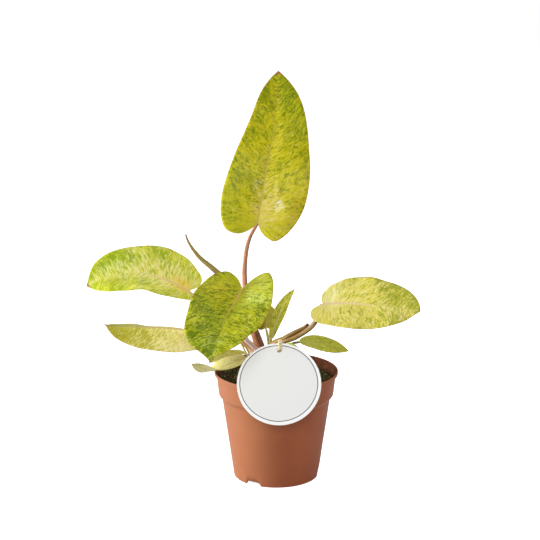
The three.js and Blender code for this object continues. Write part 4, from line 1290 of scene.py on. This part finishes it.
class PHILODENDRON_OT_soil(bpy.types.Operator):
    """Fill the pot with peat, and scatter crumbs, fibres and moss on it"""

    bl_idname = "philodendron.soil"
    bl_label = "Peat and moss"

    def execute(self, context):
        settings = context.scene.philodendron_soil
        wall = pot_profile(POT["rim_radius"])[1][-2::-1]
        clear = SOIL["clear"]
        side = [[r - clear, z + (clear if z < 10 else 0)] for r, z in wall]
        (low_r, low_z), (high_r, high_z) = side[-2:]
        edge_z = SOIL["edge_z"] - SOIL["tilt"]
        edge_radius = low_r + (high_r - low_r) * (edge_z - low_z) / (high_z - low_z)
        low = [[0, POT["floor"] + clear], *side[:-1]]
        sides, rings = SOIL["sides"], SOIL["rings"]
        turn = around(sides)
        rows = [[(r * math.cos(t), r * math.sin(t), z) for t in turn] for r, z in low]
        for ring in range(rings + 1):
            r = edge_radius * (1 - ring / rings) ** 0.9
            x, y = r * np.cos(turn), r * np.sin(turn)
            spot = np.stack([x, y, np.zeros_like(x)], -1)
            bumps = sum(height * rough(spot, size, i + 1) for i, (size, height) in enumerate(SOIL["bumps"]))
            rows.append(list(zip(x, y, soil_height(x, y, edge_radius) + min(1.0, ring / 2) * bumps)))
        points = np.array(rows).reshape(-1, 3)
        material = peat_material("Peat", settings.peat, 1.0)
        bed = new_piece("peat_bed", points, grid_faces(len(rows), sides, closed=True), material, ["soil"])
        cover = (np.arange(len(points)) >= len(low) * sides).astype(float)
        room = edge_radius - np.hypot(points[:, 0], points[:, 1])
        moss = np.clip(rough(points * (1, 1, 0), 15, 9) * 2.2 + points[:, 0] / 70 + 0.35, 0, 1) * cover
        mark(bed, "cover", cover)
        mark(bed, "loose", cover * np.clip((room - 4) / 2.5, 0, 1))
        mark(bed, "moss", moss * np.clip(room - 1.5, 0, 1))
        merged(bed)
        crumb, seed = settings.crumb, settings.seed
        fibre = peat_material("Peat fibre", (0.260, 0.190, 0.095), 0.4)
        scatter(bed, "peat_crumbs", "Crumbs", "peat", Cover="cover", Density=95000.0, Smallest=crumb * 0.35,
                Largest=crumb, Lean=3.1, Seed=seed, Material=material)
        scatter(bed, "peat_fibres", "Strands", "peat", Cover="loose", Density=34000.0, Smallest=2.0 * MM,
                Largest=6.5 * MM, Lean=1.5, Seed=seed + 1, Material=fibre)
        scatter(bed, "moss", "Strands", "peat", Cover="moss", Density=420000.0, Smallest=1.2 * MM,
                Largest=3.4 * MM, Lean=0.9, Seed=seed + 2, Material=moss_material(settings.moss))
        return {"FINISHED"}


class PHILODENDRON_OT_stem(bpy.types.Operator):
    """Stand the short stem in the peat, with its rings of leaf scars"""

    bl_idname = "philodendron.stem"
    bl_label = "Stem"

    def execute(self, context):
        _, length = smooth_path(STEM["path"])

        def scarred(t, turns):
            angle = 2 * np.pi * turns
            ring = 0.06 * abs(math.sin(math.pi * length / STEM["scar_spacing"] * t))
            return 1 + ring + 0.035 * np.sin(3 * angle + 8 * t) + 0.02 * np.sin(7 * angle - 11 * t)

        points, faces, marks = tube(STEM["path"], STEM["radii"], STEM["steps"], STEM["sides"], scarred)
        piece = new_piece("short_stem", points, faces, stalk_material("Stem bark", STALK_LOOKS["stem"]),
                          ["stem"])
        mark(piece, "stalk", marks)
        return {"FINISHED"}


class PHILODENDRON_OT_grown_leaves(bpy.types.Operator):
    """Grow the five mottled leaves on their stalks"""

    bl_idname = "philodendron.grown_leaves"
    bl_label = "Grown leaves"

    def execute(self, context):
        make_leaves(LEAVES, OUTLINES, None, context.scene.philodendron_leaves)
        return {"FINISHED"}


class PHILODENDRON_OT_young_leaves(bpy.types.Operator):
    """Grow the small young leaves and the rolled spear"""

    bl_idname = "philodendron.young_leaves"
    bl_label = "Young leaves and spear"

    def execute(self, context):
        plain = {"left": LANCE, "right": LANCE}
        outlines = {name: leaf.get("outline", plain) for name, leaf in SMALL_LEAVES.items()}
        make_leaves(SMALL_LEAVES, outlines, SMALL_STALK, context.scene.philodendron_leaves,
                    coarser=2, thinner=0.8, flatter=0.45)

        def rolled(t, turns):
            seam = (turns - 0.15 - 0.35 * t) % 1
            return 0.94 + 0.14 * seam

        stalk_piece("rolled_spear", [(SPEAR["path"], SPEAR["radii"], rolled)], STALK_LOOKS["spear"],
                    ["spear"], sides=28)
        return {"FINISHED"}


def card_place(points):
    """Moves points (across, up, forward) of the card to where it leans on the lip, in millimetres."""
    lean = math.radians(TAG["lean"])
    across, up, forward = np.asarray(points, float).T
    middle = -(POT["rim_radius"] + TAG["off_lip"] + TAG["thickness"] / 2)
    y = middle - forward * math.cos(lean) + up * math.sin(lean)
    z = TAG["z"] + up * math.cos(lean) + forward * math.sin(lean)
    return np.stack([TAG["x"] + across, y, z], -1)


class PHILODENDRON_OT_tag(bpy.types.Operator):
    """Cut the round card, with its punched hole and its thin printed ring"""

    bl_idname = "philodendron.tag"
    bl_label = "Card"

    def execute(self, context):
        sides = TAG["sides"]
        turn = around(sides)
        circle = np.stack([np.cos(turn), np.sin(turn)], -1)
        half, soft = TAG["thickness"] / 2, TAG["soft_edge"]
        inner = np.array([0, TAG["hole_up"]]) + circle * TAG["hole"]
        outer = circle * (TAG["radius"] - soft)

        def level(ring, height):
            return np.concatenate([ring, np.full((sides, 1), height)], -1)

        front = np.array([level(inner + (outer - inner) * share, half) for share in CARD_RINGS])
        rim = np.array([level(circle * TAG["radius"], height) for height in (half - soft, -half + soft)])
        points = np.concatenate([front, rim, front[::-1] * (1, 1, -1), front[:1]])
        faces = grid_faces(len(points), sides, closed=True)[:, [0, 3, 2, 1]]
        points = points.reshape(-1, 3)
        piece = new_piece("round_card", card_place(points), faces, card_material(context.scene.philodendron_tag),
                          ["tag"], smooth=False)
        mark(piece, "card", points)
        merged(piece)
        return {"FINISHED"}


class PHILODENDRON_OT_twine(bpy.types.Operator):
    """Loop the doubled twine through the card's hole and round the right stalk"""

    bl_idname = "philodendron.twine"
    bl_label = "Twine"

    def execute(self, context):
        material = twine_material(context.scene.philodendron_tag.twine)
        place, _ = smooth_path(TWINE_PATH, closed=True)
        count = TWINE["points"]
        points, _ = place(np.arange(count) / count)
        mesh = bpy.data.meshes.new("twine_route")
        mesh.from_pydata([tuple(p) for p in points * MM], [(i, (i + 1) % count) for i in range(count)], [])
        route = add_object("twine_route", mesh)
        twisted = run_tree(route, twine_tree("Twisted Twine"), {
            "Strand Gap": TWINE["gap"] * MM, "Ply Radius": TWINE["ply"] * MM, "Pitch": TWINE["pitch"] * MM,
            "Material": material})
        piece = put_piece("doubled_twine", twisted, ["tag_string"])
        mark(piece, "cover", np.ones(len(piece.data.vertices)))
        scatter(piece, "twine_fuzz", "Strands", "twine", Cover="cover", Density=900000.0, Smallest=0.5 * MM,
                Largest=1.3 * MM, Lean=3.1, Seed=5, Material=material)
        bpy.data.objects.remove(route)
        return {"FINISHED"}


class PHILODENDRON_OT_studio(bpy.types.Operator):
    """Lay the pale floor, and set the soft lights and the camera"""

    bl_idname = "philodendron.studio"
    bl_label = "Studio"

    def execute(self, context):
        scene = context.scene
        settings = scene.philodendron_studio
        mesh = bpy.data.meshes.new("floor")
        mesh.from_pydata([(x * FLOOR_REACH, y * FLOOR_REACH, 0) for x, y in ((-1, -1), (1, -1), (1, 1), (-1, 1))], [],
                         [(0, 1, 2, 3)])
        floor = add_object("floor", mesh)
        material, tree, shader = new_material("Pale floor", 0.8, 0.2)
        shader.inputs["Base Color"].default_value = (0.8, 0.8, 0.8, 1)
        shader.inputs["Emission Color"].default_value = (1, 1, 1, 1)
        seen = node("ShaderNodeLightPath", None, "Is Camera Ray", tree)
        connect(seen * settings.floor_glow, shader.inputs["Emission Strength"])
        mesh.materials.append(material)
        world = bpy.data.worlds.new("White surroundings")
        world.use_nodes = True
        scene.world = world
        tree = world.node_tree
        tree.nodes.clear()
        seen = node("ShaderNodeLightPath", None, "Is Camera Ray", tree)
        strength = node("ShaderNodeMix", {0: seen, 2: settings.ambient, 3: 1.0}, data_type="FLOAT")
        sky = node("ShaderNodeBackground", {"Color": (1, 1, 1, 1), "Strength": strength})
        connect(sky, tree.nodes.new("ShaderNodeOutputWorld").inputs[0])
        for name, (place, size) in LAMPS.items():
            data = bpy.data.lights.new(f"{name}_light", "AREA")
            data.shape, data.size, data.energy = "DISK", size, getattr(settings, name)
            lamp = add_object(f"{name}_light", data)
            lamp.location = place
            lamp.rotation_euler = (Vector(LAMP_TARGET) - Vector(place)).to_track_quat("-Z", "Y").to_euler()
        camera = add_object("camera", bpy.data.cameras.new("camera"))
        camera.data.sensor_width = SENSOR_MM
        camera.data.lens = SENSOR_MM * FOCAL_PX / PHOTO_PX
        camera.data.clip_end = 20
        camera.location = (CAMERA_ASIDE, -settings.camera_distance, settings.camera_height)
        camera.rotation_euler = (math.pi / 2 - settings.camera_pitch, 0, 0)
        scene.camera = camera
        scene.view_settings.view_transform = "Standard"
        return {"FINISHED"}


class PHILODENDRON_PT_plant(bpy.types.Panel):
    """Sizes, colours and steps of the potted philodendron"""

    bl_idname = "PHILODENDRON_PT_plant"
    bl_label = "Potted Philodendron"
    bl_space_type = "VIEW_3D"
    bl_region_type = "UI"
    bl_category = "Plant"

    def draw(self, context):
        for title, (settings, *steps) in SECTIONS.items():
            box = self.layout.box()
            box.label(text=title)
            group = f"philodendron_{title.lower()}"
            for name in settings.__annotations__:
                box.prop(getattr(context.scene, group), name)
            for step in steps:
                box.operator(step.bl_idname)


# Settings and steps under each title. The title also names the settings of the scene.
SECTIONS = {
    "Pot": (PotSettings, PHILODENDRON_OT_pot),
    "Soil": (SoilSettings, PHILODENDRON_OT_soil, PHILODENDRON_OT_stem),
    "Leaves": (LeafSettings, PHILODENDRON_OT_grown_leaves, PHILODENDRON_OT_young_leaves),
    "Tag": (TagSettings, PHILODENDRON_OT_tag, PHILODENDRON_OT_twine),
    "Studio": (StudioSettings, PHILODENDRON_OT_studio),
}
CLASSES = [*(cls for section in SECTIONS.values() for cls in section), PHILODENDRON_PT_plant]


def register():
    for cls in CLASSES:
        bpy.utils.register_class(cls)
    for title, (settings, *_) in SECTIONS.items():
        setattr(bpy.types.Scene, f"philodendron_{title.lower()}", bpy.props.PointerProperty(type=settings))


def unregister():
    for title in SECTIONS:
        delattr(bpy.types.Scene, f"philodendron_{title.lower()}")
    for cls in reversed(CLASSES):
        bpy.utils.unregister_class(cls)


def main():
    register()
    bpy.ops.philodendron.pot()
    bpy.ops.philodendron.soil()
    bpy.ops.philodendron.stem()
    bpy.ops.philodendron.grown_leaves()
    bpy.ops.philodendron.young_leaves()
    bpy.ops.philodendron.tag()
    bpy.ops.philodendron.twine()
    bpy.ops.philodendron.studio()


if __name__ == "__main__":
    main()
